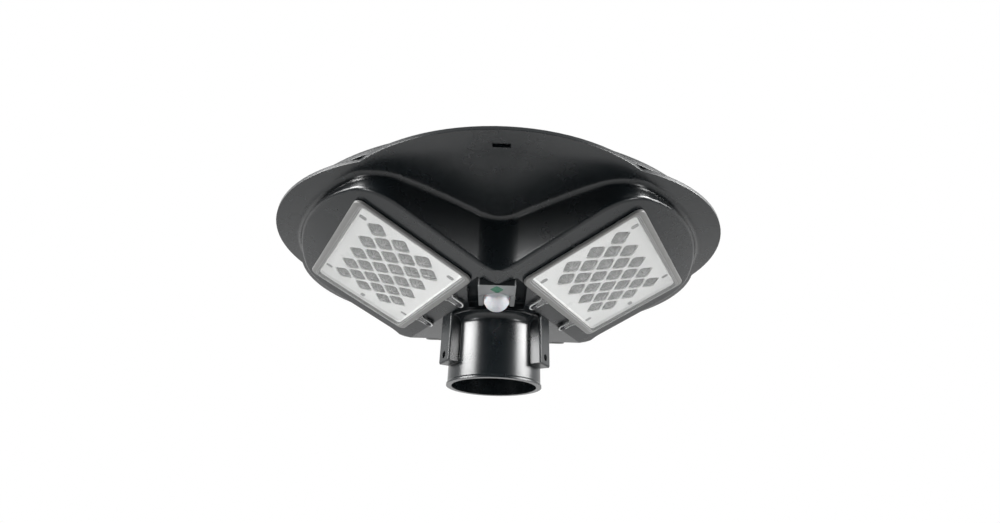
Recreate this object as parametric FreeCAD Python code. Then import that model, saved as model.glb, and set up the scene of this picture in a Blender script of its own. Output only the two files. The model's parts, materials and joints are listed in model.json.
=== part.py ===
"""Solar post-top light with three tilted lens panels under a six-lobed brim.

Millimetres, +Z up. The origin is the centre of the post socket's mouth, so the post comes up
from below along +Z. The motion sensor faces the front, which is -Y.
"""
import FreeCAD, Part
import math
import os

from FreeCAD import Rotation, Vector

# ---- Post socket --------------------------------------------------------------------------
bore_radius = 40.0          # slides over a 76 mm post with 2 mm all round
socket_wall = 4.0
post_depth = 54.0           # how far the post goes in before it meets the stop shelf
stop_shelf = 3.5            # width and thickness of that shelf
mouth_bead = 0.9            # the rolled lip at the mouth stands out this far
mouth_bead_height = 3.0
mouth_bead_slope = 1.2      # height of the bead's sloping upper part
flange_thickness = 2.5
root_radius = 8.0           # hollow corner where the tube meets its flange
rib_width = 20.6
rib_depth = 9.7             # how far a rib stands out of the tube
rib_start = 16.0            # height of a rib's lower end above the mouth
rib_bevel = 1.2
rib_screw_radius = 2.5      # M5 cap screws, down through the hub into the ribs
rib_screw_head = 4.0
rib_screw_head_height = 2.8
rib_screw_depth = 15.0      # how far a screw reaches into its rib

# ---- Clamp screws, one in each rib ---------------------------------------------------------
clamp_height = 23.0
clamp_screw_radius = 3.0    # M6 grub screw
clamp_screw_length = 10.0
clamp_screw_chamfer = 0.75
clamp_running_gap = 0.05
clamp_setback = 0.5         # the screw's tip stays this far inside the bore wall when open
insert_radius = 4.2
insert_length = 9.0
hex_across_flats = 3.0
hex_depth = 3.5

# ---- Lens panels ---------------------------------------------------------------------------
panel_setback = 15.4        # from the socket's flange to the lens covers, seen from below
panel_rise = 5.7            # the face at a lens cover's inner edge, above the hub
cover_length = 110.8        # up the slope
cover_width = 157.7
cover_corner = 7.0
cover_plate = 2.0
cover_end_rim = 5.5         # width of the thick rim along the inner and outer edges
cover_side_rim = 2.6
cover_proud = 3.5           # outer surface of the cover above the housing's face
cover_edge_radius = 1.0
gasket_thickness = 0.8
gasket_setback = 0.8
tray_end_margin = 7.0       # from the cover's edge to the recess behind it
tray_side_margin = 3.6
tray_corner = 5.0
tray_depth = 8.0
lens_columns = 6
lens_end_margin = 15.15     # from the cover's inner and outer edges to the field of lenses
lens_side_margin = 15.1
lens_row_long = 5           # lenses in the outer column; every second column has one fewer
lens_web = 1.1              # half the web left between two lens openings
lens_corner = 3.0
lens_dome_height = 2.4
lens_sheet_thickness = 1.4
reflector_thickness = 2.0
reflector_gap = 0.3
peg_slot_length = 7.0       # slots in the reflector that the lens sheet's pegs fill
peg_slot_width = 5.0
peg_edge = 1.0              # from a slot to the reflector's edge
peg_inset = 20.0            # from the reflector's sides to the four pegs by its ends
peg_proud = 0.2             # the pegs stand out of the reflector this far
led_size = 3.0
led_height = 0.7
led_pocket_play = 0.4       # round an LED, in the back of the lens sheet
led_pocket_depth = 0.6
led_board_thickness = 1.6
board_play = 0.5            # all round, between a tray and what lies in it
ear_offset = 33.5           # the two screw ears, either side of a cover's middle line
ear_reach = 11.0            # from the cover's edge to the screw
ear_radius = 4.6
ear_thickness = 2.0
ear_flare = 3.0             # hollow corners where an ear meets the cover
led_screw_radius = 1.0
led_screw_head = 2.2
led_screw_head_height = 1.0
led_screw_grip = 1.8        # how far it reaches into the tray's floor
led_screw_inset = 4.5       # from the LED board's edges
lens_screw_radius = 1.5
lens_screw_head = 2.8
lens_screw_head_height = 1.8
lens_screw_length = 7.0
lens_screw_boss = 9.0       # height of the boss inside the housing
lead_hole_radius = 3.0
lead_hole_distance = 33.0   # from the cover's inner edge

# ---- Housing -------------------------------------------------------------------------------
wall = 3.0
hub_height = 61.5           # flat underside round the socket
wing_tilt = 22.3            # degrees, lens panels and the faces they sit on
wing_side_margin = 22.15    # from a lens cover's side to its wing's side
wing_end_margin = 6.7       # from a lens cover's outer corners to the circle the wings reach
wing_corner_radius = 35.0
gap_corner_radius = 31.0    # hollow corner between two wings
lower_edge_radius = 3.0
ridge_tilt = 18.4           # degrees, the small facet on the ridge between two wings
wing_end_wall = 4.1         # height of a wing's end between its face and the brim
brim_root_radius = 5.0      # hollow corner where the wings meet the brim
brim_dish_radius = 250.0    # the brim is dished inside the wings' circle, with this radius in section
brim_border = 11.0          # flat part of the brim, from the wings' circle to the rim's valleys
lobe_rise = 12.2            # the lobes' middles stand out past the valleys this far
slot_length = 12.5          # drain slots in the brim, one between each two wings
slot_width = 4.0
slot_margin = 7.0           # from the wings' circle to the middle of a slot

# ---- Upper cover and solar panel -----------------------------------------------------------
upper_overhang = 1.6        # the upper cover's edge stands out past the rim's valleys
upper_wall = 3.0
upper_side = 5.0            # height of its upright edge
upper_edge_radius = 2.4
shoulder_width = 31.5       # sloping shoulder between that edge and the raised deck
deck_rim = 8.0              # the deck's frame round the solar panel
solar_seal_width = 3.5
solar_seal_drop = 0.3       # the seal stays this far below the deck
solar_glass_thickness = 3.0
solar_glass_bevel = 0.5
solar_cell_size = 52.0
solar_cell_gap = 2.5
solar_cell_thickness = 0.4
solar_cell_margin = 4.0
backsheet_thickness = 0.6
cover_seal_width = 2.4      # seal between the brim and the upper cover
cover_seal_height = 2.2
cover_seal_gap = 1.0        # from the seal to the screw bosses
cover_screw_count = 6
cover_screw_turn = 15.0     # degrees from a wing's middle to its first screw
cover_screw_radius = 1.5
cover_screw_head = 2.8
cover_screw_head_height = 1.6
cover_screw_length = 6.0
cover_screw_floor = 2.1     # plastic under a screw's head
cover_boss_radius = 3.4
cover_boss_gap = 0.5        # from a boss to the upper cover's edge wall
pilot_tip_gap = 0.3         # a blind hole is this much deeper than its screw

# ---- Motion sensor -------------------------------------------------------------------------
sensor_setback = 8.0        # from the socket's flange to the sensor housing
sensor_width = 31.0
sensor_length = 44.0
sensor_proud = 1.0
sensor_wall = 1.5
sensor_corner = 1.5
ledge_height = 1.6          # low ledges either side of the dome
ledge_length = 24.0
ledge_gap = 0.6             # from the dome
bay_half_width = 25.0
bay_margin = 1.5            # from the sensor's front to the end of its recess
bay_behind = 12.0           # the recess runs on behind the sensor, under the flange
bay_depth = 6.0
bay_side_gap = 0.5          # between the sensor's front corners and the bay
bay_lead_hole = 4.0
dome_radius = 11.2
dome_place = 16.5           # from the sensor's back to the middle of the dome
dome_neck = 1.0             # upright part of the dome outside the sensor's face
dome_wall = 1.0
dome_flange = 1.6
pir_radius = 4.1
pir_height = 4.0
pir_window_width = 4.1
pir_window_depth = 0.3
window_place = 8.4          # from the sensor's front to the middle of the window
window_half_width = 5.8
window_half_length = 8.0
window_corner = 1.5
window_seat = 1.0           # how deep the window's wider outer part is let in
window_step = 0.8           # the inner part is this much narrower
sensor_board_gap = 1.0      # between the dome's flange and the board
sensor_board_thickness = 1.2
led_block_width = 2.4
led_block_height = 0.8
sensor_screw_radius = 1.2
sensor_screw_head = 2.4
sensor_screw_head_height = 1.4
sensor_screw_inset = 4.0    # from the sensor housing's side
sensor_screw_back = 5.0     # from its back

# ---- Battery and controller ----------------------------------------------------------------
cell_radius = 13.1
cell_length = 65.5
cell_cap_radius = 5.2
cell_cap_height = 1.0
cell_gap = 0.4
cell_end_play = 1.5
tray_floor = 3.0
tray_lip = 9.0
tray_wall = 2.0
strap_width = 16.0
strap_thickness = 1.2
strap_play = 0.5
battery_headroom = 1.7      # between the strap and the controller board
controller_length = 90.0
controller_thickness = 1.6
controller_corner = 2.0
standoff_radius = 3.6
standoff_inset = 6.0
tray_to_standoff = 5.0      # from the battery tray to the middle of a standoff
board_screw_radius = 1.5
board_screw_head = 2.8
board_screw_head_height = 1.6
board_screw_length = 7.0
capacitor_radius = 5.0
capacitor_height = 6.5
capacitor_place = (-20.0, 15.0)
choke_radius = 6.5
choke_bore = 3.0
choke_height = 4.5
choke_place = (12.0, 18.0)
chip_size = 12.0
chip_height = 1.4
chip_place = (0.0, -4.0)
connector_width = 10.0
connector_depth = 8.0
connector_height = 5.5
connector_pitch = 20.0
connector_inset = 10.0      # from the board's front edge
deck_headroom = 3.1         # between the capacitor and the upper cover

# ---- Power button in the rear wing's side --------------------------------------------------
button_along = 112.0        # distance from the lamp's axis along the rear wing
button_rise = 18.5          # above the wing's tilted face there
button_radius = 4.0
button_running_gap = 0.05
button_travel = 1.5
button_stands_out = 3.5
button_edge_radius = 1.2
barrel_radius = 6.0
barrel_depth = 14.0
barrel_floor = 2.0
bezel_radius = 8.0
bezel_thickness = 1.6
bezel_edge_radius = 0.8
nut_across_flats = 16.0
nut_thickness = 2.4

# ---- Shared fits ---------------------------------------------------------------------------
hole_clearance = 0.2        # radial, round a screw that passes through
assembly_gap = 0.2          # between parts that lie side by side
recess_half_width = 0.35    # half the width of a cross recess's arms
recess_reach = 0.6          # share of a screw head's radius that the recess spans
recess_depth = 0.5          # share of the head's height
head_rounding = 0.45        # share of the head's height

WING_ANGLES = {"rear": 90.0, "left": 210.0, "right": 330.0}
GAP_ANGLES = (270.0, 30.0, 150.0)
Z_AXIS = Vector(0, 0, 1)

tilt_rise = math.tan(math.radians(wing_tilt))
tilt_cos = math.cos(math.radians(wing_tilt))

# ---- Plan of the lamp, from the post outwards ----------------------------------------------
socket_radius = bore_radius + socket_wall
flange_radius = socket_radius + root_radius
rib_face = socket_radius + rib_depth
panel_inner_radius = flange_radius + panel_setback
panel_outer_radius = panel_inner_radius + cover_length * tilt_cos
lens_pitch_slope = (cover_length - 2 * lens_end_margin) / (lens_columns + 1)
lens_pitch_across = (cover_width - 2 * lens_side_margin) / lens_row_long
wing_half_width = cover_width / 2 + wing_side_margin
wing_reach = math.hypot(panel_outer_radius, cover_width / 2) + wing_end_margin
lobe_valley = wing_reach + brim_border
lobe_peak = lobe_valley + lobe_rise
slot_distance = wing_reach + slot_margin
upper_radius = lobe_valley + upper_overhang
deck_radius = upper_radius - shoulder_width
solar_recess_radius = deck_radius - deck_rim
cover_screw_circle = upper_radius - upper_wall - cover_boss_gap - cover_boss_radius
cover_seal_radius = cover_screw_circle - cover_boss_radius - cover_seal_gap - cover_seal_width / 2
sensor_back = flange_radius + sensor_setback
sensor_front = sensor_back + sensor_length
dome_distance = sensor_back + dome_place
window_distance = sensor_front - window_place
bay_front = sensor_front + bay_margin
bay_back = sensor_back - bay_behind
battery_half_width = 2 * cell_radius + 3 * cell_gap / 2
controller_width = 2 * (battery_half_width + tray_wall + tray_to_standoff + standoff_inset)
far = 1.5 * lobe_peak       # well outside the lamp, for cutting shapes

# ---- Heights, from the hub upwards ---------------------------------------------------------
hub_floor = hub_height + wall
panel_inner_height = hub_height + panel_rise
brim_height = panel_inner_height + (wing_reach - panel_inner_radius) * tilt_rise + wing_end_wall
brim_top = brim_height + wall
strap_inner_top = hub_floor + tray_floor + 4 * cell_radius + 3 * cell_gap
controller_height = strap_inner_top + strap_thickness + battery_headroom
upper_underside = controller_height + controller_thickness + capacitor_height + deck_headroom
solar_floor = upper_underside + upper_wall
deck_top = solar_floor + backsheet_thickness + solar_cell_thickness + solar_glass_thickness
button_height = panel_inner_height + (button_along - panel_inner_radius) * tilt_rise + button_rise


# ---- Helpers -------------------------------------------------------------------------------
def box(x0, x1, y0, y1, z0, z1):
    return Part.makeBox(x1 - x0, y1 - y0, z1 - z0, Vector(x0, y0, z0))


def rod(radius, z0, z1, x=0.0, y=0.0):
    return Part.makeCylinder(radius, z1 - z0, Vector(x, y, z0))


def tube(outer, inner, z0, z1, x=0.0, y=0.0):
    return rod(outer, z0, z1, x, y).cut(rod(inner, z0 - 1, z1 + 1, x, y))


def spun(shape, degrees):
    turned_copy = shape.copy()
    turned_copy.rotate(Vector(0, 0, 0), Z_AXIS, degrees)
    return turned_copy


def joined(shapes):
    return shapes[0].multiFuse(shapes[1:]) if len(shapes) > 1 else shapes[0]


def prism(points, z0, z1):
    """Upright prism over a closed list of (x, y) corners."""
    corners = [Vector(x, y, z0) for x, y in points]
    return Part.Face(Part.makePolygon(corners + corners[:1])).extrude(Vector(0, 0, z1 - z0))


def side_prism(points, half_width):
    """Prism over a closed list of (x, z) corners, from -half_width to half_width in Y."""
    corners = [Vector(x, -half_width, z) for x, z in points]
    return Part.Face(Part.makePolygon(corners + corners[:1])).extrude(Vector(0, 2 * half_width, 0))


def turned(edges):
    """Solid turned about Z from a closed outline in the XZ plane."""
    wire = Part.Wire(Part.__sortEdges__(edges))
    return Part.Face(wire).revolve(Vector(0, 0, 0), Z_AXIS, 360)


def turned_polygon(points):
    corners = [Vector(r, 0, z) for r, z in points]
    return turned(Part.makePolygon(corners + corners[:1]).Edges)


def rounded_plate(x0, x1, y0, y1, radius, z0, z1):
    plate = box(x0, x1, y0, y1, z0, z1)
    upright = [e for e in plate.Edges if e.BoundBox.ZLength > (z1 - z0) / 2]
    return plate.makeFillet(radius, upright)


def hexagon(across_flats, z0, z1):
    corner = across_flats / math.sqrt(3)
    return prism([(corner * math.cos(math.radians(60 * i)), corner * math.sin(math.radians(60 * i)))
                  for i in range(6)], z0, z1)


def screw(radius, length, head_radius, head_height):
    """Pan-head screw along Z: the head sits on z = 0 and the shank goes down."""
    head = rod(head_radius, 0, head_height)
    top_edge = [e for e in head.Edges if e.BoundBox.ZMin > head_height / 2]
    head = head.makeFillet(head_height * head_rounding, top_edge)
    reach = head_radius * recess_reach
    depth = head_height * (1 - recess_depth)
    recess = joined([box(-reach, reach, -recess_half_width, recess_half_width, depth, head_height),
                     box(-recess_half_width, recess_half_width, -reach, reach, depth, head_height)])
    return head.cut(recess).fuse(rod(radius, -length, 0))


def diamond(half_x, half_y, inset, corner, z0, z1):
    """Upright prism over a rounded diamond, its sides moved in by an inset."""
    share = 1 - inset * math.hypot(half_x, half_y) / (half_x * half_y)
    points = [(half_x * share, 0), (0, half_y * share), (-half_x * share, 0), (0, -half_y * share)]
    cell = prism(points, z0, z1)
    upright = [e for e in cell.Edges if e.BoundBox.ZLength > (z1 - z0) / 2]
    return cell.makeFillet(corner, upright)


# ---- Frame of a lens panel -----------------------------------------------------------------
# x runs up the slope from the cover's inner edge, y runs across, and z points into the
# housing, with z = 0 on the housing's outer face.
def on_wing(shape, degrees):
    placed = shape.copy()
    placed.rotate(Vector(0, 0, 0), Vector(0, 1, 0), -wing_tilt)
    placed.translate(Vector(panel_inner_radius, 0, panel_inner_height))
    return spun(placed, degrees)


def lens_places():
    """Centres of the lenses: staggered columns, the outer column being a long one."""
    first = cover_length / 2 + lens_pitch_slope * (lens_columns - 1) / 2
    places = []
    for column in range(lens_columns):
        count = lens_row_long - column % 2
        for row in range(count):
            places.append((first - column * lens_pitch_slope, (row - (count - 1) / 2) * lens_pitch_across))
    return places


def lens_cell(inset, z0, z1):
    """Rounded diamond that fills one cell of the staggered pattern, less an inset."""
    return diamond(lens_pitch_slope, lens_pitch_across / 2, inset, lens_corner, z0, z1)


def moved(shape, x, y, z=0.0):
    shifted = shape.copy()
    shifted.translate(Vector(x, y, z))
    return shifted


# ---- Lower housing -------------------------------------------------------------------------
def mirrored(point):
    return Vector(point.x, -point.y, point.z)


def star_prism(inset, z0, z1):
    """The three wings in plan, each an arc about the axis with rounded corners."""
    half = wing_half_width - inset
    reach = wing_reach - inset
    corner = wing_corner_radius - inset
    hollow = gap_corner_radius + inset
    centre = Vector(math.sqrt((reach - corner) ** 2 - (half - corner) ** 2), half - corner, 0)
    arc_angle = math.atan2(centre.y, centre.x)
    arc_end = Vector(reach * math.cos(arc_angle), reach * math.sin(arc_angle), 0)
    side_start = Vector(centre.x, half, 0)
    bisector = (arc_angle + math.pi / 2) / 2
    corner_middle = centre + Vector(math.cos(bisector), math.sin(bisector), 0) * corner
    valley = half / math.sin(math.radians(60))
    side_end = Vector(half / math.tan(math.radians(60)) + hollow * math.tan(math.radians(30)), half, 0)
    gap_way = Vector(math.cos(math.radians(60)), math.sin(math.radians(60)), 0)
    gap_middle = gap_way * (valley + hollow / math.cos(math.radians(30)) - hollow)
    next_wing = Rotation(Z_AXIS, 120)
    one_third = [
        Part.Arc(mirrored(arc_end), Vector(reach, 0, 0), arc_end).toShape(),
        Part.Arc(arc_end, corner_middle, side_start).toShape(),
        Part.LineSegment(side_start, side_end).toShape(),
        Part.Arc(side_end, gap_middle, next_wing.multVec(mirrored(side_end))).toShape(),
        Part.LineSegment(next_wing.multVec(mirrored(side_end)),
                         next_wing.multVec(mirrored(side_start))).toShape(),
        Part.Arc(next_wing.multVec(mirrored(side_start)), next_wing.multVec(mirrored(corner_middle)),
                 next_wing.multVec(mirrored(arc_end))).toShape(),
    ]
    edges = [spun(edge, angle) for angle in WING_ANGLES.values() for edge in one_third]
    outline = Part.Wire(Part.__sortEdges__(edges))
    face = Part.Face(outline)
    face.translate(Vector(0, 0, z0))
    return face.extrude(Vector(0, 0, z1 - z0))


def face_height(radius, offset=0.0):
    """Height of a wing's tilted face at a distance along the wing, moved inwards by offset."""
    return panel_inner_height + (radius - panel_inner_radius) * tilt_rise + offset / tilt_cos


def slopes(offset):
    """Everything above three tilted faces that meet a flat hub."""
    hinge = panel_inner_radius + (hub_height + offset - face_height(panel_inner_radius, offset)) / tilt_rise
    section = [(0, hub_height + offset), (hinge, hub_height + offset), (far, face_height(far, offset)),
               (far, far), (0, far)]
    sector = prism([(0, 0), (far, -far * math.tan(math.radians(60))),
                    (far, far * math.tan(math.radians(60)))], 0, far)
    one_wing = side_prism(section, 2 * far).common(sector)
    return joined([spun(one_wing, angle) for angle in WING_ANGLES.values()])


def ridge_facets(offset):
    return [spun(ridge_facet(offset), angle) for angle in GAP_ANGLES]


def belly(offset):
    """The slopes, with the ridges between them flattened."""
    return slopes(offset).cut(ridge_facets(offset))


def ridge_facet(offset):
    """What is cut from below to flatten the ridge between two wings."""
    start = 2 * (panel_inner_radius - (panel_inner_height - hub_height) / tilt_rise)
    rise = math.tan(math.radians(ridge_tilt))
    lift = offset / math.cos(math.radians(ridge_tilt))
    near = start - 2 * gap_corner_radius
    section = [(near, hub_height + lift + (near - start) * rise),
               (far, hub_height + lift + (far - start) * rise), (far, 0), (near, 0)]
    return side_prism(section, wing_half_width)


def lobed_prism(z0, z1):
    """The rim in plan: six arcs that meet in valleys."""
    def at(radius, degrees):
        return Vector(radius * math.cos(math.radians(degrees)), radius * math.sin(math.radians(degrees)), z0)
    arcs = [Part.Arc(at(lobe_valley, a - 30), at(lobe_peak, a), at(lobe_valley, a + 30)).toShape()
            for a in range(30, 390, 60)]
    return Part.Face(Part.Wire(Part.__sortEdges__(arcs))).extrude(Vector(0, 0, z1 - z0))


def brim_drop(radius):
    """How far the dished part of the brim lies below its flat part."""
    inward = wing_reach - radius
    return brim_dish_radius - math.sqrt(brim_dish_radius ** 2 - inward ** 2)


def brim():
    inner = gap_valley() - wall
    middle = (inner + wing_reach) / 2

    def curve(z):
        return Part.Arc(Vector(inner, 0, z - brim_drop(inner)), Vector(middle, 0, z - brim_drop(middle)),
                        Vector(wing_reach, 0, z)).toShape()

    def line(r0, z0, r1, z1):
        return Part.LineSegment(Vector(r0, 0, z0), Vector(r1, 0, z1)).toShape()

    outer = lobe_peak + 1
    section = [curve(brim_height), line(wing_reach, brim_height, outer, brim_height),
               line(outer, brim_height, outer, brim_top), line(outer, brim_top, wing_reach, brim_top),
               curve(brim_top),
               line(inner, brim_top - brim_drop(inner), inner, brim_height - brim_drop(inner))]
    return turned(section).common(lobed_prism(0, far))


def gap_valley():
    """Distance from the axis to the hollow corner between two wings."""
    hollow = gap_corner_radius * (1 / math.cos(math.radians(30)) - 1)
    return wing_half_width / math.sin(math.radians(60)) + hollow


def bay_outline(grow):
    """The recess round the sensor, wider towards the socket, in plan."""
    front = bay_front + grow
    front_half = sensor_width / 2 + bay_side_gap + grow
    half = bay_half_width + grow
    shoulder = front - (half - front_half) * math.tan(math.radians(60))
    back = bay_back - grow
    return [(-half, -back), (-half, -shoulder), (-front_half, -front), (front_half, -front),
            (half, -shoulder), (half, -back)]


def tray_block(inset, z0, z1):
    """Rounded block over the recess behind a lens cover, smaller by the inset all round."""
    ends = tray_end_margin + inset
    sides = cover_width / 2 - tray_side_margin - inset
    return rounded_plate(ends, cover_length - ends, -sides, sides, tray_corner, z0, z1)


def ear_places():
    return [(-ear_reach, side * ear_offset) for side in (-1, 1)]


def wall_edges(body):
    """Middles and edges of a body that run along the wings' upright walls, the upright ones left out."""
    walls = Part.makeShell([f for f in star_prism(0, 0, brim_top).Faces if abs(f.normalAt(0, 0).z) < 0.5])
    found = []
    for edge in body.Edges:
        middle = edge.valueAt((edge.FirstParameter + edge.LastParameter) / 2)
        upright = edge.BoundBox.ZLength > 0.9 * edge.Length
        if not upright and walls.distToShape(Part.Vertex(middle))[0] < 0.05:
            found.append((middle, edge))
    return found


def lower_edges(body):
    """Where the wings' tilted faces meet their walls."""
    return [edge for middle, edge in wall_edges(body) if middle.z < brim_height]


def brim_roots(body):
    """Where the wings' walls meet the underside of the brim."""
    chosen = []
    for middle, edge in wall_edges(body):
        underside = brim_height - brim_drop(min(math.hypot(middle.x, middle.y), wing_reach))
        if abs(middle.z - underside) < 0.05:
            chosen.append(edge)
    return chosen


def standoff_places():
    return [(sx * (controller_width / 2 - standoff_inset), sy * (controller_length / 2 - standoff_inset))
            for sx in (-1, 1) for sy in (-1, 1)]


def cover_screw_angles():
    step = 360.0 / cover_screw_count
    return [WING_ANGLES["rear"] + cover_screw_turn + step * i for i in range(cover_screw_count)]


def upper_boss_top():
    return upper_top_at(cover_screw_circle) - upper_wall - cover_screw_head_height


def lead_hole():
    return rod(lead_hole_radius, 0, tray_depth + 2 * wall, lead_hole_distance, 0)


def lower_housing():
    outer = star_prism(0, 0, brim_top).common(slopes(0)).removeSplitter()
    outer = outer.makeFillet(lower_edge_radius, lower_edges(outer)).cut(ridge_facets(0))
    cavity = star_prism(wall, 0, brim_top + 1).common(belly(wall))
    shell = outer.fuse(brim()).removeSplitter()
    shell = shell.makeFillet(brim_root_radius, brim_roots(shell)).cut(cavity)

    inside = []
    for angle in WING_ANGLES.values():
        inside.append(on_wing(tray_block(-wall, wall / 2, tray_depth + wall), angle))
        for x, y in ear_places():
            boss = rod(ear_radius, -gasket_thickness, lens_screw_boss, x, y)
            inside.append(on_wing(boss, angle))
    bay = prism(bay_outline(wall), hub_height, hub_height + bay_depth + wall)
    inside.append(bay.common(belly(wall / 2)))
    for x, y in standoff_places():
        inside.append(rod(standoff_radius, hub_floor - wall / 2, controller_height, x, y))
    for angle in cover_screw_angles():
        inside.append(spun(rod(cover_boss_radius, brim_height + wall / 2, upper_boss_top(),
                               cover_screw_circle, 0), angle))
    shell = shell.multiFuse(inside)

    holes = [prism(bay_outline(0), 0, hub_height + bay_depth),
             rod(bay_lead_hole, 0, hub_floor + bay_depth + 1, 0, sensor_middle())]
    for angle in WING_ANGLES.values():
        holes.append(on_wing(tray_block(0, -wall, tray_depth), angle))
        holes.append(on_wing(lead_hole(), angle))
        for x, y in ear_places():
            depth = lens_screw_length - gasket_thickness - ear_thickness + pilot_tip_gap
            holes.append(on_wing(rod(lens_screw_radius, -wall, depth, x, y), angle))
        rib_hole = rod(rib_screw_radius + hole_clearance, 0, hub_floor + 1, rib_middle(), 0)
        holes.append(spun(rib_hole, angle))
        for x, y in led_screw_places():
            depth = stack()["board_out"] + led_screw_length() + pilot_tip_gap
            holes.append(on_wing(rod(led_screw_radius, tray_depth - 1, depth, x, y), angle))
    for angle in GAP_ANGLES:
        slot = box(slot_distance - slot_width / 2, slot_distance + slot_width / 2, -slot_length / 2,
                   slot_length / 2, brim_height - 1, brim_top + 1)
        holes.append(spun(slot, angle))
    for angle in cover_screw_angles():
        tip = cover_screw_seat() - cover_screw_length
        pilot = rod(cover_screw_radius, tip - pilot_tip_gap, far, cover_screw_circle, 0)
        holes.append(spun(pilot, angle))
    for x, y in standoff_places():
        tip = controller_height + controller_thickness - board_screw_length
        holes.append(rod(board_screw_radius, tip - pilot_tip_gap, far, x, y))
    for x, y in sensor_screw_places():
        holes.append(rod(sensor_screw_radius + hole_clearance, 0, hub_floor + bay_depth + 1, x, y))
    holes.append(sideways(rod(barrel_radius + hole_clearance, -wall - 2, 1)))
    return shell.cut(holes)


# ---- Post socket ---------------------------------------------------------------------------
def rib_middle():
    return socket_radius + rib_depth / 2


def clamp_axis(shape):
    """Lay a shape that was made along +Z so that it points out of a rib along +X."""
    laid = shape.copy()
    laid.rotate(Vector(0, 0, 0), Vector(0, 1, 0), 90)
    laid.translate(Vector(0, 0, clamp_height))
    return laid


def post_socket():
    top = hub_height
    root_start = top - flange_thickness - root_radius
    hollow = Part.Arc(Vector(socket_radius, 0, root_start),
                      Vector(socket_radius + root_radius * (1 - math.cos(math.pi / 4)), 0,
                             root_start + root_radius * math.sin(math.pi / 4)),
                      Vector(flange_radius, 0, top - flange_thickness)).toShape()
    bead = socket_radius + mouth_bead

    def line(r0, z0, r1, z1):
        return Part.LineSegment(Vector(r0, 0, z0), Vector(r1, 0, z1)).toShape()

    section = [line(0, 0, bead, 0), line(bead, 0, bead, mouth_bead_height - mouth_bead_slope),
               line(bead, mouth_bead_height - mouth_bead_slope, socket_radius, mouth_bead_height),
               line(socket_radius, mouth_bead_height, socket_radius, root_start), hollow,
               line(flange_radius, top - flange_thickness, flange_radius, top),
               line(flange_radius, top, 0, top), line(0, top, 0, 0)]
    body = turned(section)
    rib = box(socket_radius - socket_wall / 2, rib_face, -rib_width / 2, rib_width / 2, rib_start, top)
    outer_edges = [e for e in rib.Edges if e.BoundBox.XMin > socket_radius and e.BoundBox.ZMin < top - 1]
    rib = rib.makeChamfer(rib_bevel, outer_edges)
    body = body.multiFuse([spun(rib, angle) for angle in WING_ANGLES.values()])
    holes = [rod(bore_radius, -1, post_depth),
             rod(bore_radius - stop_shelf, 0, post_depth + stop_shelf),
             rod(bore_radius - stop_shelf, 0, top - flange_thickness)]
    for angle in WING_ANGLES.values():
        insert_seat = clamp_axis(rod(insert_radius, 0, insert_end()))
        screw_way = clamp_axis(rod(clamp_screw_radius + hole_clearance, 0, rib_face + 1))
        pilot = rod(rib_screw_radius, top - rib_screw_depth - pilot_tip_gap, top + 1, rib_middle(), 0)
        holes += [spun(insert_seat, angle), spun(screw_way, angle), spun(pilot, angle)]
    return body.cut(holes)


def insert_start():
    return bore_radius + clamp_setback


def insert_end():
    return insert_start() + insert_length


def clamp_insert():
    barrel = rod(insert_radius, insert_start(), insert_end())
    way = rod(clamp_screw_radius + clamp_running_gap, insert_start() - 1, insert_end() + 1)
    return clamp_axis(barrel.cut(way))


def clamp_screw():
    """Grub screw with a hex socket at its outer end and a chamfered tip."""
    end = insert_start() + clamp_screw_length
    body = rod(clamp_screw_radius, insert_start(), end)
    body = body.makeChamfer(clamp_screw_chamfer, [e for e in body.Edges if e.Closed])
    return clamp_axis(body.cut(hexagon(hex_across_flats, end - hex_depth, end + 1)))


def socket_screw():
    part = screw(rib_screw_radius, rib_screw_depth + wall, rib_screw_head, rib_screw_head_height)
    return moved(part, rib_middle(), 0, hub_floor)


# ---- Lens panels ---------------------------------------------------------------------------
def stack():
    """Depths of the layers inside a lens tray, from the housing's face inwards."""
    board_out = tray_depth - led_board_thickness
    sheet_in = board_out - led_height - assembly_gap
    sheet_out = sheet_in - lens_sheet_thickness
    reflector_in = sheet_out
    return {"board_out": board_out, "sheet_in": sheet_in, "sheet_out": sheet_out,
            "reflector_out": reflector_in - reflector_thickness}


def lens_cover():
    outer = -cover_proud
    plate = rounded_plate(0, cover_length, -cover_width / 2, cover_width / 2, cover_corner,
                          outer, -gasket_thickness)
    rim = [e for e in plate.Edges if e.BoundBox.ZMax < outer + 0.01]
    plate = plate.makeFillet(cover_edge_radius, rim)
    hollow_half = cover_width / 2 - cover_side_rim
    hollow = rounded_plate(cover_end_rim, cover_length - cover_end_rim, -hollow_half, hollow_half,
                           tray_corner, outer + cover_plate, 0)
    plate = plate.cut(hollow)
    ears = []
    holes = []
    z0 = -gasket_thickness - ear_thickness
    for x, y in ear_places():
        ears.append(ear(x, y, z0))
        holes.append(rod(lens_screw_radius + hole_clearance, z0 - 1, 1, x, y))
    return plate.multiFuse(ears).cut(holes)


def ear(x, y, z0):
    """Round screw ear with a flared root."""
    root = ear_radius + ear_flare
    neck = box(x, cover_edge_radius, y - root, y + root, z0, -gasket_thickness)
    for side in (-1, 1):
        centre_y = y + side * root
        neck = neck.cut(rod(ear_flare, z0, 0, -ear_flare, centre_y))
        neck = neck.cut(box(x, -ear_flare, centre_y - ear_flare, centre_y + ear_flare, z0, 0))
    return neck.fuse(rod(ear_radius, z0, -gasket_thickness, x, y))


def lens_gasket():
    half = cover_width / 2 - gasket_setback
    outer = rounded_plate(gasket_setback, cover_length - gasket_setback, -half, half, cover_corner,
                          -gasket_thickness, 0)
    return outer.cut(tray_block(0, -wall, wall))


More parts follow.
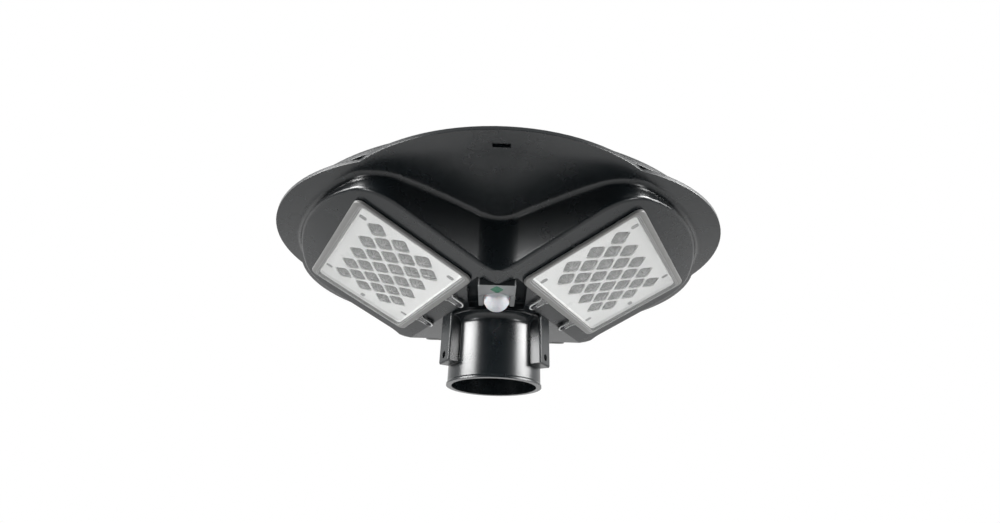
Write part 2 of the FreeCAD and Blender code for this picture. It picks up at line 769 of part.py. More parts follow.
def peg_pill(across, grow, z0, z1):
    """Round-ended bar along x, or along y if it lies across, centred on the origin."""
    half = peg_slot_length / 2 + grow
    radius = peg_slot_width / 2 + grow
    bar = rounded_plate(-half, half, -radius, radius, radius * 0.98, z0, z1)
    return spun(bar, 90) if across else bar


def peg_places():
    """Two pegs by each end of the reflector and one by the middle of each side."""
    inward = peg_edge + peg_slot_length / 2
    end = tray_end_margin + board_play + inward
    side = cover_width / 2 - tray_side_margin - board_play
    places = [(x, sign * (side - peg_inset), False) for x in (end, cover_length - end) for sign in (-1, 1)]
    return places + [(cover_length / 2, sign * (side - inward), True) for sign in (-1, 1)]


def reflector_plate():
    layers = stack()
    plate = tray_block(board_play, layers["reflector_out"], layers["sheet_out"])
    cell = lens_cell(lens_web, -1, tray_depth)
    slots = [moved(peg_pill(across, 0, -1, tray_depth), x, y) for x, y, across in peg_places()]
    return plate.cut([moved(cell, x, y) for x, y in lens_places()] + slots)


def lens_sheet():
    layers = stack()
    sheet = tray_block(board_play, layers["sheet_out"], layers["sheet_in"])
    for x, y, across in peg_places():
        peg = peg_pill(across, -reflector_gap, layers["reflector_out"] - peg_proud,
                       layers["sheet_in"] - led_pocket_depth)
        sheet = sheet.fuse(moved(peg, x, y))
    reach = lens_pitch_slope - lens_web
    ball_radius = (reach ** 2 + lens_dome_height ** 2) / (2 * lens_dome_height)
    ball = Part.makeSphere(ball_radius, Vector(0, 0, layers["sheet_out"] - lens_dome_height + ball_radius))
    dome = ball.common(lens_cell(lens_web + reflector_gap, layers["sheet_out"] - lens_dome_height,
                                 layers["sheet_out"] + lens_sheet_thickness / 2))
    half = led_size / 2 + led_pocket_play
    pocket = box(-half, half, -half, half, layers["sheet_in"] - led_pocket_depth, tray_depth)
    sheet = sheet.multiFuse([moved(dome, x, y) for x, y in lens_places()])
    sheet = sheet.cut([moved(pocket, x, y) for x, y in lens_places()])
    ways = [rod(led_screw_head + hole_clearance, 0, tray_depth, x, y) for x, y in led_screw_places()]
    return sheet.cut(ways)


def led_screw_places():
    end = tray_end_margin + board_play + led_screw_inset
    side = cover_width / 2 - tray_side_margin - board_play - led_screw_inset
    return [(x, sign * side) for x in (end, cover_length - end) for sign in (-1, 1)]


def led_screw_length():
    return led_board_thickness + led_screw_grip


def led_board():
    board = tray_block(board_play, stack()["board_out"], tray_depth)
    holes = [rod(led_screw_radius + hole_clearance, 0, tray_depth + 1, x, y) for x, y in led_screw_places()]
    return board.cut(holes + [lead_hole()])


def led_chips():
    top = stack()["board_out"]
    chip = box(-led_size / 2, led_size / 2, -led_size / 2, led_size / 2, top - led_height, top)
    return Part.makeCompound([moved(chip, x, y) for x, y in lens_places()])


def led_board_screws():
    """Screws that hold the three boards to their trays."""
    part = screw(led_screw_radius, led_screw_length(), led_screw_head, led_screw_head_height)
    part.rotate(Vector(0, 0, 0), Vector(1, 0, 0), 180)
    placed = [moved(part, x, y, stack()["board_out"]) for x, y in led_screw_places()]
    return Part.makeCompound([on_wing(p, angle) for angle in WING_ANGLES.values() for p in placed])


def lens_screws():
    part = screw(lens_screw_radius, lens_screw_length, lens_screw_head, lens_screw_head_height)
    part.rotate(Vector(0, 0, 0), Vector(1, 0, 0), 180)
    head_seat = -gasket_thickness - ear_thickness
    placed = [moved(part, x, y, head_seat) for x, y in ear_places()]
    return Part.makeCompound([on_wing(p, angle) for angle in WING_ANGLES.values() for p in placed])


# ---- Upper cover and solar panel -----------------------------------------------------------
def upper_top_at(radius):
    """Height of the upper cover's sloping shoulder."""
    shoulder = brim_top + upper_side
    share = (upper_radius - radius) / (upper_radius - deck_radius)
    return shoulder + share * (deck_top - upper_wall - shoulder)


def upper_cover():
    edge_in = upper_radius - upper_wall
    section = [(upper_radius, brim_top), (upper_radius, upper_top_at(upper_radius)),
               (deck_radius, upper_top_at(deck_radius)), (deck_radius - upper_wall, deck_top),
               (solar_recess_radius, deck_top), (solar_recess_radius, solar_floor), (0, solar_floor),
               (0, upper_underside), (deck_radius - upper_wall, upper_underside),
               (edge_in, upper_top_at(edge_in) - upper_wall), (edge_in, brim_top)]
    body = turned_polygon(section)
    soft = [e for e in body.Edges if e.Closed and abs(e.BoundBox.XMax - upper_radius) < 0.01
            and e.BoundBox.ZMin > brim_top + 1]
    body = body.makeFillet(upper_edge_radius, soft)
    half = cover_seal_width / 2
    spigot = tube(cover_seal_radius + half, cover_seal_radius - half, brim_top + cover_seal_height,
                  upper_top_at(cover_seal_radius) - upper_wall / 2)
    posts = []
    holes = []
    for angle in cover_screw_angles():
        post_top = upper_top_at(cover_screw_circle) - upper_wall / 2
        post = rod(cover_boss_radius, upper_boss_top() + assembly_gap, post_top, cover_screw_circle, 0)
        posts.append(spun(post, angle))
        seat = cover_screw_seat()
        holes.append(spun(rod(cover_screw_head + hole_clearance, seat, far, cover_screw_circle, 0), angle))
        holes.append(spun(rod(cover_screw_radius + hole_clearance, 0, far, cover_screw_circle, 0), angle))
    return body.multiFuse([spigot] + posts).cut(holes)


def cover_screw_seat():
    """Height of the flat that a cover screw's head pulls against."""
    return upper_boss_top() + assembly_gap + cover_screw_floor


def cover_screws():
    part = moved(screw(cover_screw_radius, cover_screw_length, cover_screw_head, cover_screw_head_height),
                 cover_screw_circle, 0, cover_screw_seat())
    return Part.makeCompound([spun(part, angle) for angle in cover_screw_angles()])


def cover_seal():
    half = cover_seal_width / 2
    return tube(cover_seal_radius + half, cover_seal_radius - half, brim_top, brim_top + cover_seal_height)


def solar_backsheet():
    return rod(solar_recess_radius - solar_seal_width, solar_floor, solar_floor + backsheet_thickness)


def solar_cells():
    """Square wafers in straight rows, cut to the round panel."""
    base = solar_floor + backsheet_thickness
    disc = rod(solar_recess_radius - solar_seal_width - solar_cell_margin, base, base + solar_cell_thickness)
    pitch = solar_cell_size + solar_cell_gap
    rows = int(2 * solar_recess_radius / pitch)
    wafers = []
    for i in range(rows):
        for j in range(rows):
            x = (i - (rows - 1) / 2) * pitch
            y = (j - (rows - 1) / 2) * pitch
            wafer = box(x - solar_cell_size / 2, x + solar_cell_size / 2, y - solar_cell_size / 2,
                        y + solar_cell_size / 2, base, base + solar_cell_thickness)
            wafers += wafer.common(disc).Solids
    return Part.makeCompound(wafers)


def solar_glass():
    glass = rod(solar_recess_radius - solar_seal_width,
                solar_floor + backsheet_thickness + solar_cell_thickness, deck_top)
    top_edge = [e for e in glass.Edges if e.Closed and e.BoundBox.ZMin > deck_top - solar_glass_bevel]
    return glass.makeChamfer(solar_glass_bevel, top_edge)


def solar_seal():
    return tube(solar_recess_radius, solar_recess_radius - solar_seal_width, solar_floor,
                deck_top - solar_seal_drop)


# ---- Motion sensor -------------------------------------------------------------------------
def sensor_face():
    return hub_height - sensor_proud


def sensor_top():
    return hub_height + bay_depth


def sensor_middle():
    return -(sensor_front + sensor_back) / 2


def sensor_screw_places():
    return [(side * (sensor_width / 2 - sensor_screw_inset), -sensor_back - sensor_screw_back)
            for side in (-1, 1)]


def sensor_housing():
    half = sensor_width / 2
    shell = box(-half, half, -sensor_front, -sensor_back, sensor_face(), sensor_top())
    upright = [e for e in shell.Edges if e.BoundBox.ZLength > bay_depth / 2]
    shell = shell.makeFillet(sensor_corner, upright)
    hollow = box(-half + sensor_wall, half - sensor_wall, -sensor_front + sensor_wall,
                 -sensor_back - sensor_wall, sensor_face() + sensor_wall, sensor_top() + 1)
    shell = shell.cut(hollow)
    posts = [rod(sensor_screw_head, sensor_face() + sensor_wall / 2, sensor_top(), x, y)
             for x, y in sensor_screw_places()]
    ledge_start = dome_radius + ledge_gap
    ledge = box(ledge_start, half, -sensor_back - ledge_length, -sensor_back - sensor_corner,
                sensor_face() - ledge_height, sensor_face() + sensor_wall / 2)
    shell = shell.multiFuse(posts + [ledge, ledge.mirror(Vector(0, 0, 0), Vector(1, 0, 0))])
    holes = [rod(sensor_screw_radius, sensor_face() + sensor_wall, far, x, y)
             for x, y in sensor_screw_places()]
    holes.append(rod(dome_radius + assembly_gap / 2, 0, far, 0, -dome_distance))
    holes.append(window_shape(assembly_gap / 2, 0, sensor_face() + window_seat))
    holes.append(window_shape(assembly_gap / 2 - window_step, 0, sensor_top()))
    return shell.cut(holes)


def window_shape(grow, z0, z1):
    return moved(diamond(window_half_width, window_half_length, -grow, window_corner, z0, z1),
                 0, -window_distance)


def indicator_window():
    glass = window_shape(0, sensor_face(), sensor_face() + window_seat)
    return glass.fuse(window_shape(-window_step, sensor_face() + window_seat, sensor_face() + sensor_wall))


def pir_dome():
    """Hollow half ball on a short neck, with a flange behind the sensor's face."""
    base = sensor_face() + sensor_wall
    middle = sensor_face() - dome_neck
    ball = Part.makeSphere(dome_radius, Vector(0, 0, middle))
    lower = ball.common(box(-far, far, -far, far, -far, middle))
    neck = rod(dome_radius, middle, base)
    flange = rod(dome_radius + dome_flange, base, base + dome_wall)
    hollow = Part.makeSphere(dome_radius - dome_wall, Vector(0, 0, middle))
    bore = rod(dome_radius - dome_wall, middle, far)
    return moved(joined([lower, neck, flange]).cut([hollow, bore]), 0, -dome_distance)


def sensor_board_base():
    return sensor_face() + sensor_wall + dome_wall + sensor_board_gap


def sensor_board():
    base = sensor_board_base()
    half = sensor_width / 2 - sensor_wall - board_play
    board = box(-half, half, -sensor_front + sensor_wall + board_play,
                -sensor_back - sensor_wall - board_play, base, base + sensor_board_thickness)
    return board.cut([rod(sensor_screw_head + assembly_gap, 0, far, x, y)
                      for x, y in sensor_screw_places()])


def pir_element():
    base = sensor_board_base()
    can = rod(pir_radius, base - pir_height, base, 0, -dome_distance)
    half = pir_window_width / 2
    window = box(-half, half, -half, half, base - pir_height - 1, base - pir_height + pir_window_depth)
    return can.cut(moved(window, 0, -dome_distance))


def indicator_led():
    base = sensor_board_base()
    half = led_block_width / 2
    return box(-half, half, -window_distance - half, -window_distance + half, base - led_block_height, base)


def sensor_screws():
    length = sensor_top() + wall - sensor_face() - sensor_wall - pilot_tip_gap
    part = screw(sensor_screw_radius, length, sensor_screw_head, sensor_screw_head_height)
    return Part.makeCompound([moved(part, x, y, sensor_top() + wall) for x, y in sensor_screw_places()])


# ---- Battery and controller ----------------------------------------------------------------
def cell_places():
    across = cell_radius + cell_gap / 2
    first = hub_floor + tray_floor + cell_radius + cell_gap
    return [(side * across, first + layer * (2 * cell_radius + cell_gap))
            for layer in (0, 1) for side in (-1, 1)]


def battery_cells():
    cells = []
    for x, z in cell_places():
        can = Part.makeCylinder(cell_radius, cell_length, Vector(x, -cell_length / 2, z), Vector(0, 1, 0))
        cap = Part.makeCylinder(cell_cap_radius, cell_cap_height, Vector(x, cell_length / 2, z),
                                Vector(0, 1, 0))
        cells.append(can.fuse(cap))
    return Part.makeCompound(cells)


def battery_tray():
    half_x = battery_half_width
    half_y = cell_length / 2 + cell_end_play
    outer_x = half_x + tray_wall
    base = box(-outer_x, outer_x, -half_y - tray_wall, half_y + tray_wall, hub_floor,
               hub_floor + tray_floor + tray_lip)
    hollow = box(-half_x, half_x, -half_y, half_y, hub_floor + tray_floor, far)
    strap_half = strap_width / 2 + strap_play
    groove = strap_thickness + assembly_gap
    under = box(-far, far, -strap_half, strap_half, 0, hub_floor + groove)
    sides = [box(side * outer_x - groove, side * outer_x + groove, -strap_half, strap_half, 0, far)
             for side in (-1, 1)]
    return base.cut([hollow, under] + sides)


def battery_strap():
    """Flat band that goes round the tray and the four cells."""
    half_in = battery_half_width + tray_wall - strap_thickness
    low_in = hub_floor + strap_thickness
    outer = box(-half_in - strap_thickness, half_in + strap_thickness, -strap_width / 2, strap_width / 2,
                low_in - strap_thickness, strap_inner_top + strap_thickness)
    long_edges = [e for e in outer.Edges if e.BoundBox.YLength > strap_width / 2]
    outer = outer.makeFillet(strap_thickness, long_edges)
    return outer.cut(box(-half_in, half_in, -strap_width, strap_width, low_in, strap_inner_top))


def controller_board():
    half_x = controller_width / 2
    half_y = controller_length / 2
    board = rounded_plate(-half_x, half_x, -half_y, half_y, controller_corner, controller_height,
                          controller_height + controller_thickness)
    return board.cut([rod(board_screw_radius + hole_clearance, 0, far, x, y) for x, y in standoff_places()])


def board_parts():
    """Capacitor, choke, driver chip and three lead connectors."""
    top = controller_height + controller_thickness
    capacitor = rod(capacitor_radius, top, top + capacitor_height, *capacitor_place)
    choke = tube(choke_radius, choke_bore, top, top + choke_height, *choke_place)
    chip_x, chip_y = chip_place
    half = chip_size / 2
    chip = box(chip_x - half, chip_x + half, chip_y - half, chip_y + half, top, top + chip_height)
    front = connector_inset - controller_length / 2
    connectors = [box(x - connector_width / 2, x + connector_width / 2, front, front + connector_depth,
                      top, top + connector_height) for x in (-connector_pitch, 0, connector_pitch)]
    return Part.makeCompound([capacitor, choke, chip] + connectors)


def board_screws():
    part = screw(board_screw_radius, board_screw_length, board_screw_head, board_screw_head_height)
    return Part.makeCompound([moved(part, x, y, controller_height + controller_thickness)
                              for x, y in standoff_places()])


# ---- Power button --------------------------------------------------------------------------
def sideways(shape):
    """Lay a shape made along +Z so that it points out of the rear wing's side wall, along +X."""
    laid = shape.copy()
    laid.rotate(Vector(0, 0, 0), Vector(0, 1, 0), 90)
    laid.translate(Vector(wing_half_width, button_along, button_height))
    return laid


def switch_body():
    barrel = rod(barrel_radius, -barrel_depth, bezel_thickness / 2)
    bezel = rod(bezel_radius, 0, bezel_thickness)
    bezel = bezel.makeFillet(bezel_edge_radius, [e for e in bezel.Edges if e.Closed and
                                                     e.BoundBox.ZMin > bezel_thickness / 2])
    way = rod(button_radius + button_running_gap, button_floor(), far)
    return sideways(barrel.fuse(bezel).cut(way))


def button_floor():
    return barrel_floor - barrel_depth


def switch_nut():
    nut = hexagon(nut_across_flats, -wall - nut_thickness, -wall)
    return sideways(nut.cut(rod(barrel_radius, -far, 0)))


def power_button():
    start = button_floor() + button_travel + assembly_gap
    end = bezel_thickness + button_stands_out
    stem = rod(button_radius, start, end)
    stem = stem.makeFillet(button_edge_radius, [e for e in stem.Edges
                                                if e.Closed and e.BoundBox.ZMin > end - button_edge_radius])
    return sideways(stem)


# ---- Write each piece ----------------------------------------------------------------------
pieces = {
    "lower_housing": lower_housing(),
    "post_socket": post_socket(),
    "socket_screws": Part.makeCompound([spun(socket_screw(), a) for a in WING_ANGLES.values()]),
    "clamp_inserts": Part.makeCompound([spun(clamp_insert(), a) for a in WING_ANGLES.values()]),
    "upper_cover": upper_cover(),
    "cover_seal": cover_seal(),
    "cover_screws": cover_screws(),
    "solar_backsheet": solar_backsheet(),
    "solar_cells": solar_cells(),
    "solar_glass": solar_glass(),
    "solar_seal": solar_seal(),
    "sensor_housing": sensor_housing(),
    "sensor_board": sensor_board(),
    "pir_dome": pir_dome(),
    "pir_element": pir_element(),
    "indicator_window": indicator_window(),
    "indicator_led": indicator_led(),
    "sensor_screws": sensor_screws(),
    "battery_cells": battery_cells(),
    "battery_tray": battery_tray(),
    "battery_strap": battery_strap(),
    "controller_board": controller_board(),
    "board_parts": board_parts(),
    "board_screws": board_screws(),
    "switch_body": switch_body(),
    "switch_nut": switch_nut(),
    "power_button": power_button(),
    "lens_screws": lens_screws(),
    "led_board_screws": led_board_screws(),
}
panel_layers = {
    "lens_cover": lens_cover(),
    "lens_gasket": lens_gasket(),
    "reflector_plate": reflector_plate(),
    "lens_sheet": lens_sheet(),
    "led_board": led_board(),
    "led_chips": led_chips(),
}
for side, angle in WING_ANGLES.items():
    pieces["clamp_screw_" + side] = spun(clamp_screw(), angle)
    for name, layer in panel_layers.items():
        pieces[name + "_" + side] = on_wing(layer, angle)

os.makedirs("parts", exist_ok=True)
for name, shape in pieces.items():
    shape.exportStep("parts/" + name + ".step")
    print(name, "solids", len(shape.Solids), "volume", round(shape.Volume, 1), "valid", shape.isValid())
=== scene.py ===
# %% [markdown]
# # A solar post-top light, seen from below
# The light is a black moulded body with three wings. Each wing carries a clear lens cover over a
# white reflector, a motion sensor looks out of the hub, and a ribbed socket slides onto a post.
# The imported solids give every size. This lesson keeps those whose shape is right, rebuilds the ones
# that need finer detail, and gives each surface its own finish.

# %% Load the solids
import json
import math

import bmesh
import bpy
from mathutils import Matrix, Vector


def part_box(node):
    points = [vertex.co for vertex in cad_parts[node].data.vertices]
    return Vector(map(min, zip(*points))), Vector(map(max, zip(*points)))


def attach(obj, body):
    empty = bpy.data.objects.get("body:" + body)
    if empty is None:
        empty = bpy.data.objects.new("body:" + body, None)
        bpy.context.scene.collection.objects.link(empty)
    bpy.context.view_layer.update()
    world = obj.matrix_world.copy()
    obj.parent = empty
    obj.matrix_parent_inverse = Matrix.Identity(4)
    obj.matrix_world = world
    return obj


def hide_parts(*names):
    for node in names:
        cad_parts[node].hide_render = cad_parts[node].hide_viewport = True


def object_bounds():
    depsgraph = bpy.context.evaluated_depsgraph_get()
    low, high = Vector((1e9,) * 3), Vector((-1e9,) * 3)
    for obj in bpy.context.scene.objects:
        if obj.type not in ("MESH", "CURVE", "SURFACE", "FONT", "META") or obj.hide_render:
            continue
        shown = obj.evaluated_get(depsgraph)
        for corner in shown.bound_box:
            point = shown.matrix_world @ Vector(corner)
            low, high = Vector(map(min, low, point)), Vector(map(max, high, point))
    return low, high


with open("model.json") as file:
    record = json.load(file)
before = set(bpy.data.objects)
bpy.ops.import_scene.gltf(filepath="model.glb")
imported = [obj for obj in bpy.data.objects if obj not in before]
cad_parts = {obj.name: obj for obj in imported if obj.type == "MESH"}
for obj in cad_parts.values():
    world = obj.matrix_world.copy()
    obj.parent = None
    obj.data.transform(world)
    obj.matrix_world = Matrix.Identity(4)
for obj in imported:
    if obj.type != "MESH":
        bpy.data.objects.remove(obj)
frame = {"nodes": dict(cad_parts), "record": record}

solid_low, solid_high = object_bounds()
MM = 0.001
print("solids reach from", tuple(round(v, 4) for v in solid_low), "to", tuple(round(v, 4) for v in solid_high))

# %% [markdown]
# ## The camera
# The photograph was taken from in front and well below, looking up by about 25 degrees with a wide
# lens. The picture also leans by less than two degrees. A camera can be turned with Euler angles,
# but building its three axes one by one keeps lean, turn and pitch easy to read.

# %% Set up the camera
IMAGE_WIDTH = 1000
FOCAL_PIXELS = 487.35
SENSOR_WIDTH = 36.0
CAMERA_PLACE = Vector((-0.0003, -0.4665, -0.0909))
CAMERA_PITCH = 0.4455
CAMERA_TURN = 0.0058
CAMERA_LEAN = -0.0299


def make_camera():
    data = bpy.data.cameras.new("camera")
    data.sensor_width = SENSOR_WIDTH
    data.lens = SENSOR_WIDTH * FOCAL_PIXELS / IMAGE_WIDTH
    camera = bpy.data.objects.new("camera", data)
    bpy.context.scene.collection.objects.link(camera)
    turn = Matrix.Rotation(-CAMERA_TURN, 3, "Z")
    level_right = turn @ Vector((1, 0, 0))
    level_up = turn @ Vector((0, -math.sin(CAMERA_PITCH), math.cos(CAMERA_PITCH)))
    right = level_right * math.cos(CAMERA_LEAN) - level_up * math.sin(CAMERA_LEAN)
    up = level_right * math.sin(CAMERA_LEAN) + level_up * math.cos(CAMERA_LEAN)
    axes = Matrix((right, up, right.cross(up))).transposed()
    camera.matrix_world = Matrix.Translation(CAMERA_PLACE) @ axes.to_4x4()
    bpy.context.scene.camera = camera
    return camera


camera = make_camera()
print("lens", round(camera.data.lens, 2), "mm")

# %% [markdown]
# ## World
# The background of the photograph is plain white, and the black plastic shows what surrounds it: a
# pale floor below, a white wall behind and a dim room in front. A single bright world would be
# simpler, but then every wall of the housing would shine alike. So the world is white to the
# camera, to gloss and through glass, and its own light is bright behind and overhead and dim in
# front.

# %% The world's own light
ROOM_LIGHT = 0.03
OVERHEAD_LIGHT = 0.7
WALL_LIGHT = 0.75
WALL_NEARS = (0.25, 0.75)     # how far a direction points backwards as the wall comes in
WALL_ENDS = (0.25, 0.5)       # how far it points up as the wall gives out
CEILING_NEARS = (0.4, 0.9)    # how far it points up as the overhead light comes in


def world_of_light():
    world = bpy.data.worlds.new("studio")
    world.use_nodes = True
    nodes, links = world.node_tree.nodes, world.node_tree.links
    nodes.clear()
    way = nodes.new("ShaderNodeSeparateXYZ")
    links.new(nodes.new("ShaderNodeTexCoord").outputs["Generated"], way.inputs[0])

    def ramp(socket, start, end, low, high):
        shade = nodes.new("ShaderNodeMapRange")
        shade.interpolation_type = "SMOOTHSTEP"
        limits = (("From Min", start), ("From Max", end), ("To Min", low), ("To Max", high))
        for label, value in limits:
            shade.inputs[label].default_value = value
        links.new(way.outputs[socket], shade.inputs["Value"])
        return shade.outputs[0]

    wall = nodes.new("ShaderNodeMath")
    wall.operation = "MULTIPLY"
    links.new(ramp("Y", *WALL_NEARS, ROOM_LIGHT, WALL_LIGHT), wall.inputs[0])
    links.new(ramp("Z", *WALL_ENDS, 1.0, 0.0), wall.inputs[1])
    dim = nodes.new("ShaderNodeMath")
    dim.operation = "MAXIMUM"
    links.new(ramp("Z", *CEILING_NEARS, ROOM_LIGHT, OVERHEAD_LIGHT), dim.inputs[0])
    links.new(wall.outputs[0], dim.inputs[1])
    path = nodes.new("ShaderNodeLightPath")
    strength = dim
    for ray in ("Is Camera Ray", "Is Glossy Ray", "Is Transmission Ray"):
        brighter = nodes.new("ShaderNodeMath")
        brighter.operation = "MAXIMUM"
        links.new(strength.outputs[0], brighter.inputs[0])
        links.new(path.outputs[ray], brighter.inputs[1])
        strength = brighter
    shade = nodes.new("ShaderNodeBackground")
    shade.inputs["Color"].default_value = (1, 1, 1, 1)
    links.new(strength.outputs[0], shade.inputs["Strength"])
    out = nodes.new("ShaderNodeOutputWorld")
    links.new(shade.outputs[0], out.inputs["Surface"])
    bpy.context.scene.world = world


world_of_light()
print("world:", bpy.context.scene.world.name)

# %% [markdown]
# ## Floor and dark flag
# The floor lies well below the light, out of the main view, and the brim mirrors it. It could be a
# backdrop that curves up behind, but the world already is white there, so a flat pale sheet will do.
# A curved dark flag stands in front, as in a real studio, and keeps the front walls black. A flat
# sheet would leave bright gaps at its sides, so the flag is half a drum. Only reflections see it.

# %% Floor and dark flag
FLOOR_DROP = 0.5
FLOOR_SIZE = 2.6
FLAG_DISTANCE = 1.9
FLAG_LOW = -1.0
FLAG_HIGH = 1.25
FLAG_STEPS = 48
FLAG_ANGLES = (172, 368)      # degrees round the light, with the front at 270
FLOOR_GREY = 0.88


def make_floor():
    mesh = bpy.data.meshes.new("floor")
    half = FLOOR_SIZE / 2
    corners = [(-half, -half), (half, -half), (half, half), (-half, half)]
    mesh.from_pydata([(x, y, solid_low.z - FLOOR_DROP) for x, y in corners], [], [(0, 1, 2, 3)])
    floor = bpy.data.objects.new("floor", mesh)
    bpy.context.scene.collection.objects.link(floor)
    material = bpy.data.materials.new("pale floor")
    material.use_nodes = True
    shader = material.node_tree.nodes["Principled BSDF"]
    shader.inputs["Base Color"].default_value = (FLOOR_GREY, FLOOR_GREY, FLOOR_GREY, 1)
    shader.inputs["Roughness"].default_value = 0.9
    mesh.materials.append(material)


def dark_flag():
    """Half a drum of black cloth in front of the light, seen by reflections alone."""
    first, last = (math.radians(angle) for angle in FLAG_ANGLES)
    points, faces = [], []
    for i in range(FLAG_STEPS + 1):
        angle = first + (last - first) * i / FLAG_STEPS
        place = (FLAG_DISTANCE * math.cos(angle), FLAG_DISTANCE * math.sin(angle))
        points += [(*place, FLAG_LOW), (*place, FLAG_HIGH)]
    for i in range(FLAG_STEPS):
        a = 2 * i
        faces.append((a, a + 1, a + 3, a + 2))
    mesh = bpy.data.meshes.new("dark flag")
    mesh.from_pydata(points, [], faces)
    flag = bpy.data.objects.new("dark_flag", mesh)
    bpy.context.scene.collection.objects.link(flag)
    cloth = bpy.data.materials.new("black cloth")
    cloth.use_nodes = True
    shader = cloth.node_tree.nodes["Principled BSDF"]
    shader.inputs["Base Color"].default_value = (0.01, 0.01, 0.011, 1)
    shader.inputs["Roughness"].default_value = 1.0
    shader.inputs["Specular IOR Level"].default_value = 0.0
    mesh.materials.append(cloth)
    flag.visible_camera = False
    flag.visible_transmission = False
    flag.visible_diffuse = False
    flag.visible_shadow = False


make_floor()
dark_flag()
print("floor", FLOOR_SIZE, "m wide, flag", FLAG_DISTANCE, "m away")

# %% [markdown]
# ## Lamps
# Two raised soft boxes draw bright upright bands on the tube, two small low lamps light the panels,
# and a wall lamp lights the floor behind, which the brim mirrors. Point lamps would light the
# panels as well, but glossy plastic would show them as small hard glints, so every lamp is a
# rectangle, and its spread is limited.

# %% Lamps
def soft_box(name, place, target, width, height, power, spread):
    data = bpy.data.lights.new(name, "AREA")
    data.shape = "RECTANGLE"
    data.size, data.size_y = width, height
    data.energy = power
    data.spread = math.radians(spread)
    lamp = bpy.data.objects.new(name, data)
    bpy.context.scene.collection.objects.link(lamp)
    lamp.location = place
    lamp.rotation_euler = (Vector(target) - Vector(place)).to_track_quat("-Z", "Y").to_euler()


LAMPS = [  # name, place, target, width, height, watts, spread in degrees
    ("left box", (-1.22, -0.52, 0.5), (0, 0, 0.05), 1.0, 0.5, 7.0, 70),
    ("right box", (1.28, -0.34, 0.5), (0, 0, 0.05), 1.0, 0.5, 7.0, 70),
    ("wall lamp", (0.0, 1.2, 1.4), (0, 1.1, -0.5), 1.6, 0.8, 5.5, 120),
    ("low left", (-1.0, -0.75, -0.3), (-0.1, -0.08, 0.08), 0.22, 0.22, 0.4, 70),
    ("low right", (1.0, -0.75, -0.3), (0.1, -0.08, 0.08), 0.22, 0.22, 0.4, 70),
]
for lamp in LAMPS:
    soft_box(*lamp)
bpy.context.scene.view_settings.view_transform = "Standard"
print("lamps:", len(LAMPS))

# %% [markdown]
# ## Shared effects
# Two effects turn up in many finishes. Moulded plastic has a fine grain and soft clouds where it
# was handled, and every real edge is a little rounded and a little rubbed. The edge mask also carries
# a painted highlight, so edges are lighter than wear alone would make them. Each effect is a node
# group, built once, with named inputs. Groups give out masks, heights and normals only, and the
# shaders stay in the materials.

# %% Node group helpers
def node_group(name, inputs, outputs):
    group = bpy.data.node_groups.new(name, "ShaderNodeTree")
    for label, default in inputs:
        socket = group.interface.new_socket(label, in_out="INPUT", socket_type="NodeSocketFloat")
        socket.default_value = default
    for label, kind in outputs:
        group.interface.new_socket(label, in_out="OUTPUT", socket_type=kind)
    return group, group.nodes.new("NodeGroupInput"), group.nodes.new("NodeGroupOutput")


def add(tree, kind, **sockets):
    """A new node with some of its sockets set or linked; keys with capitals are socket names."""
    node = tree.nodes.new(kind)
    for key, value in sockets.items():
        if hasattr(node, key) and not key[0].isupper():
            setattr(node, key, value)
    for key, value in sockets.items():
        if key[0].isupper():
            socket = node.inputs[key.replace("_", " ")]
            if isinstance(value, bpy.types.NodeSocket):
                tree.links.new(value, socket)
            else:
                socket.default_value = value
    return node


def math_node(tree, operation, a, b=0.0):
    node = tree.nodes.new("ShaderNodeMath")
    node.operation = operation
    for socket, value in zip(node.inputs, (a, b)):
        if isinstance(value, bpy.types.NodeSocket):
            tree.links.new(value, socket)
        else:
            socket.default_value = value
    return node.outputs[0]


def build_grain():
    """Fine moulding grain as a height, and soft handling clouds as a mask."""
    group, inputs, outputs = node_group(
        "moulding grain", [("Grain per metre", 1400.0), ("Clouds per metre", 18.0)],
        [("Height", "NodeSocketFloat"), ("Clouds", "NodeSocketFloat")])
    place = add(group, "ShaderNodeTexCoord").outputs["Object"]
    grain = add(group, "ShaderNodeTexNoise", Vector=place, Scale=inputs.outputs[0], Detail=2.0, Roughness=0.6)
    clouds = add(group, "ShaderNodeTexNoise", Vector=place, Scale=inputs.outputs[1], Detail=4.0, Roughness=0.65)
    group.links.new(grain.outputs[0], outputs.inputs["Height"])
    group.links.new(clouds.outputs[0], outputs.inputs["Clouds"])
    return group


EDGE_STARTS = 0.995           # likeness of the rounded and the flat normal where an edge begins
EDGE_FULL = 0.85


def build_edges():
    """Rounded normal at the edges, and a mask of where they are."""
    group, inputs, outputs = node_group(
        "worn and highlit edges", [("Radius", 0.0008)], [("Normal", "NodeSocketVector"), ("Edge", "NodeSocketFloat")])
    bevel = add(group, "ShaderNodeBevel", samples=6, Radius=inputs.outputs[0])
    flat = add(group, "ShaderNodeNewGeometry").outputs["Normal"]
    likeness = add(group, "ShaderNodeVectorMath", operation="DOT_PRODUCT")
    group.links.new(bevel.outputs[0], likeness.inputs[0])
    group.links.new(flat, likeness.inputs[1])
    edge = add(group, "ShaderNodeMapRange", Value=likeness.outputs["Value"])
    edge.inputs["From Min"].default_value = EDGE_STARTS
    edge.inputs["From Max"].default_value = EDGE_FULL
    group.links.new(bevel.outputs[0], outputs.inputs["Normal"])
    group.links.new(edge.outputs[0], outputs.inputs["Edge"])
    return group


GRAIN = build_grain()
WEAR_AND_HIGHLIGHT_EDGES = build_edges()
print("groups:", [group.name for group in bpy.data.node_groups])
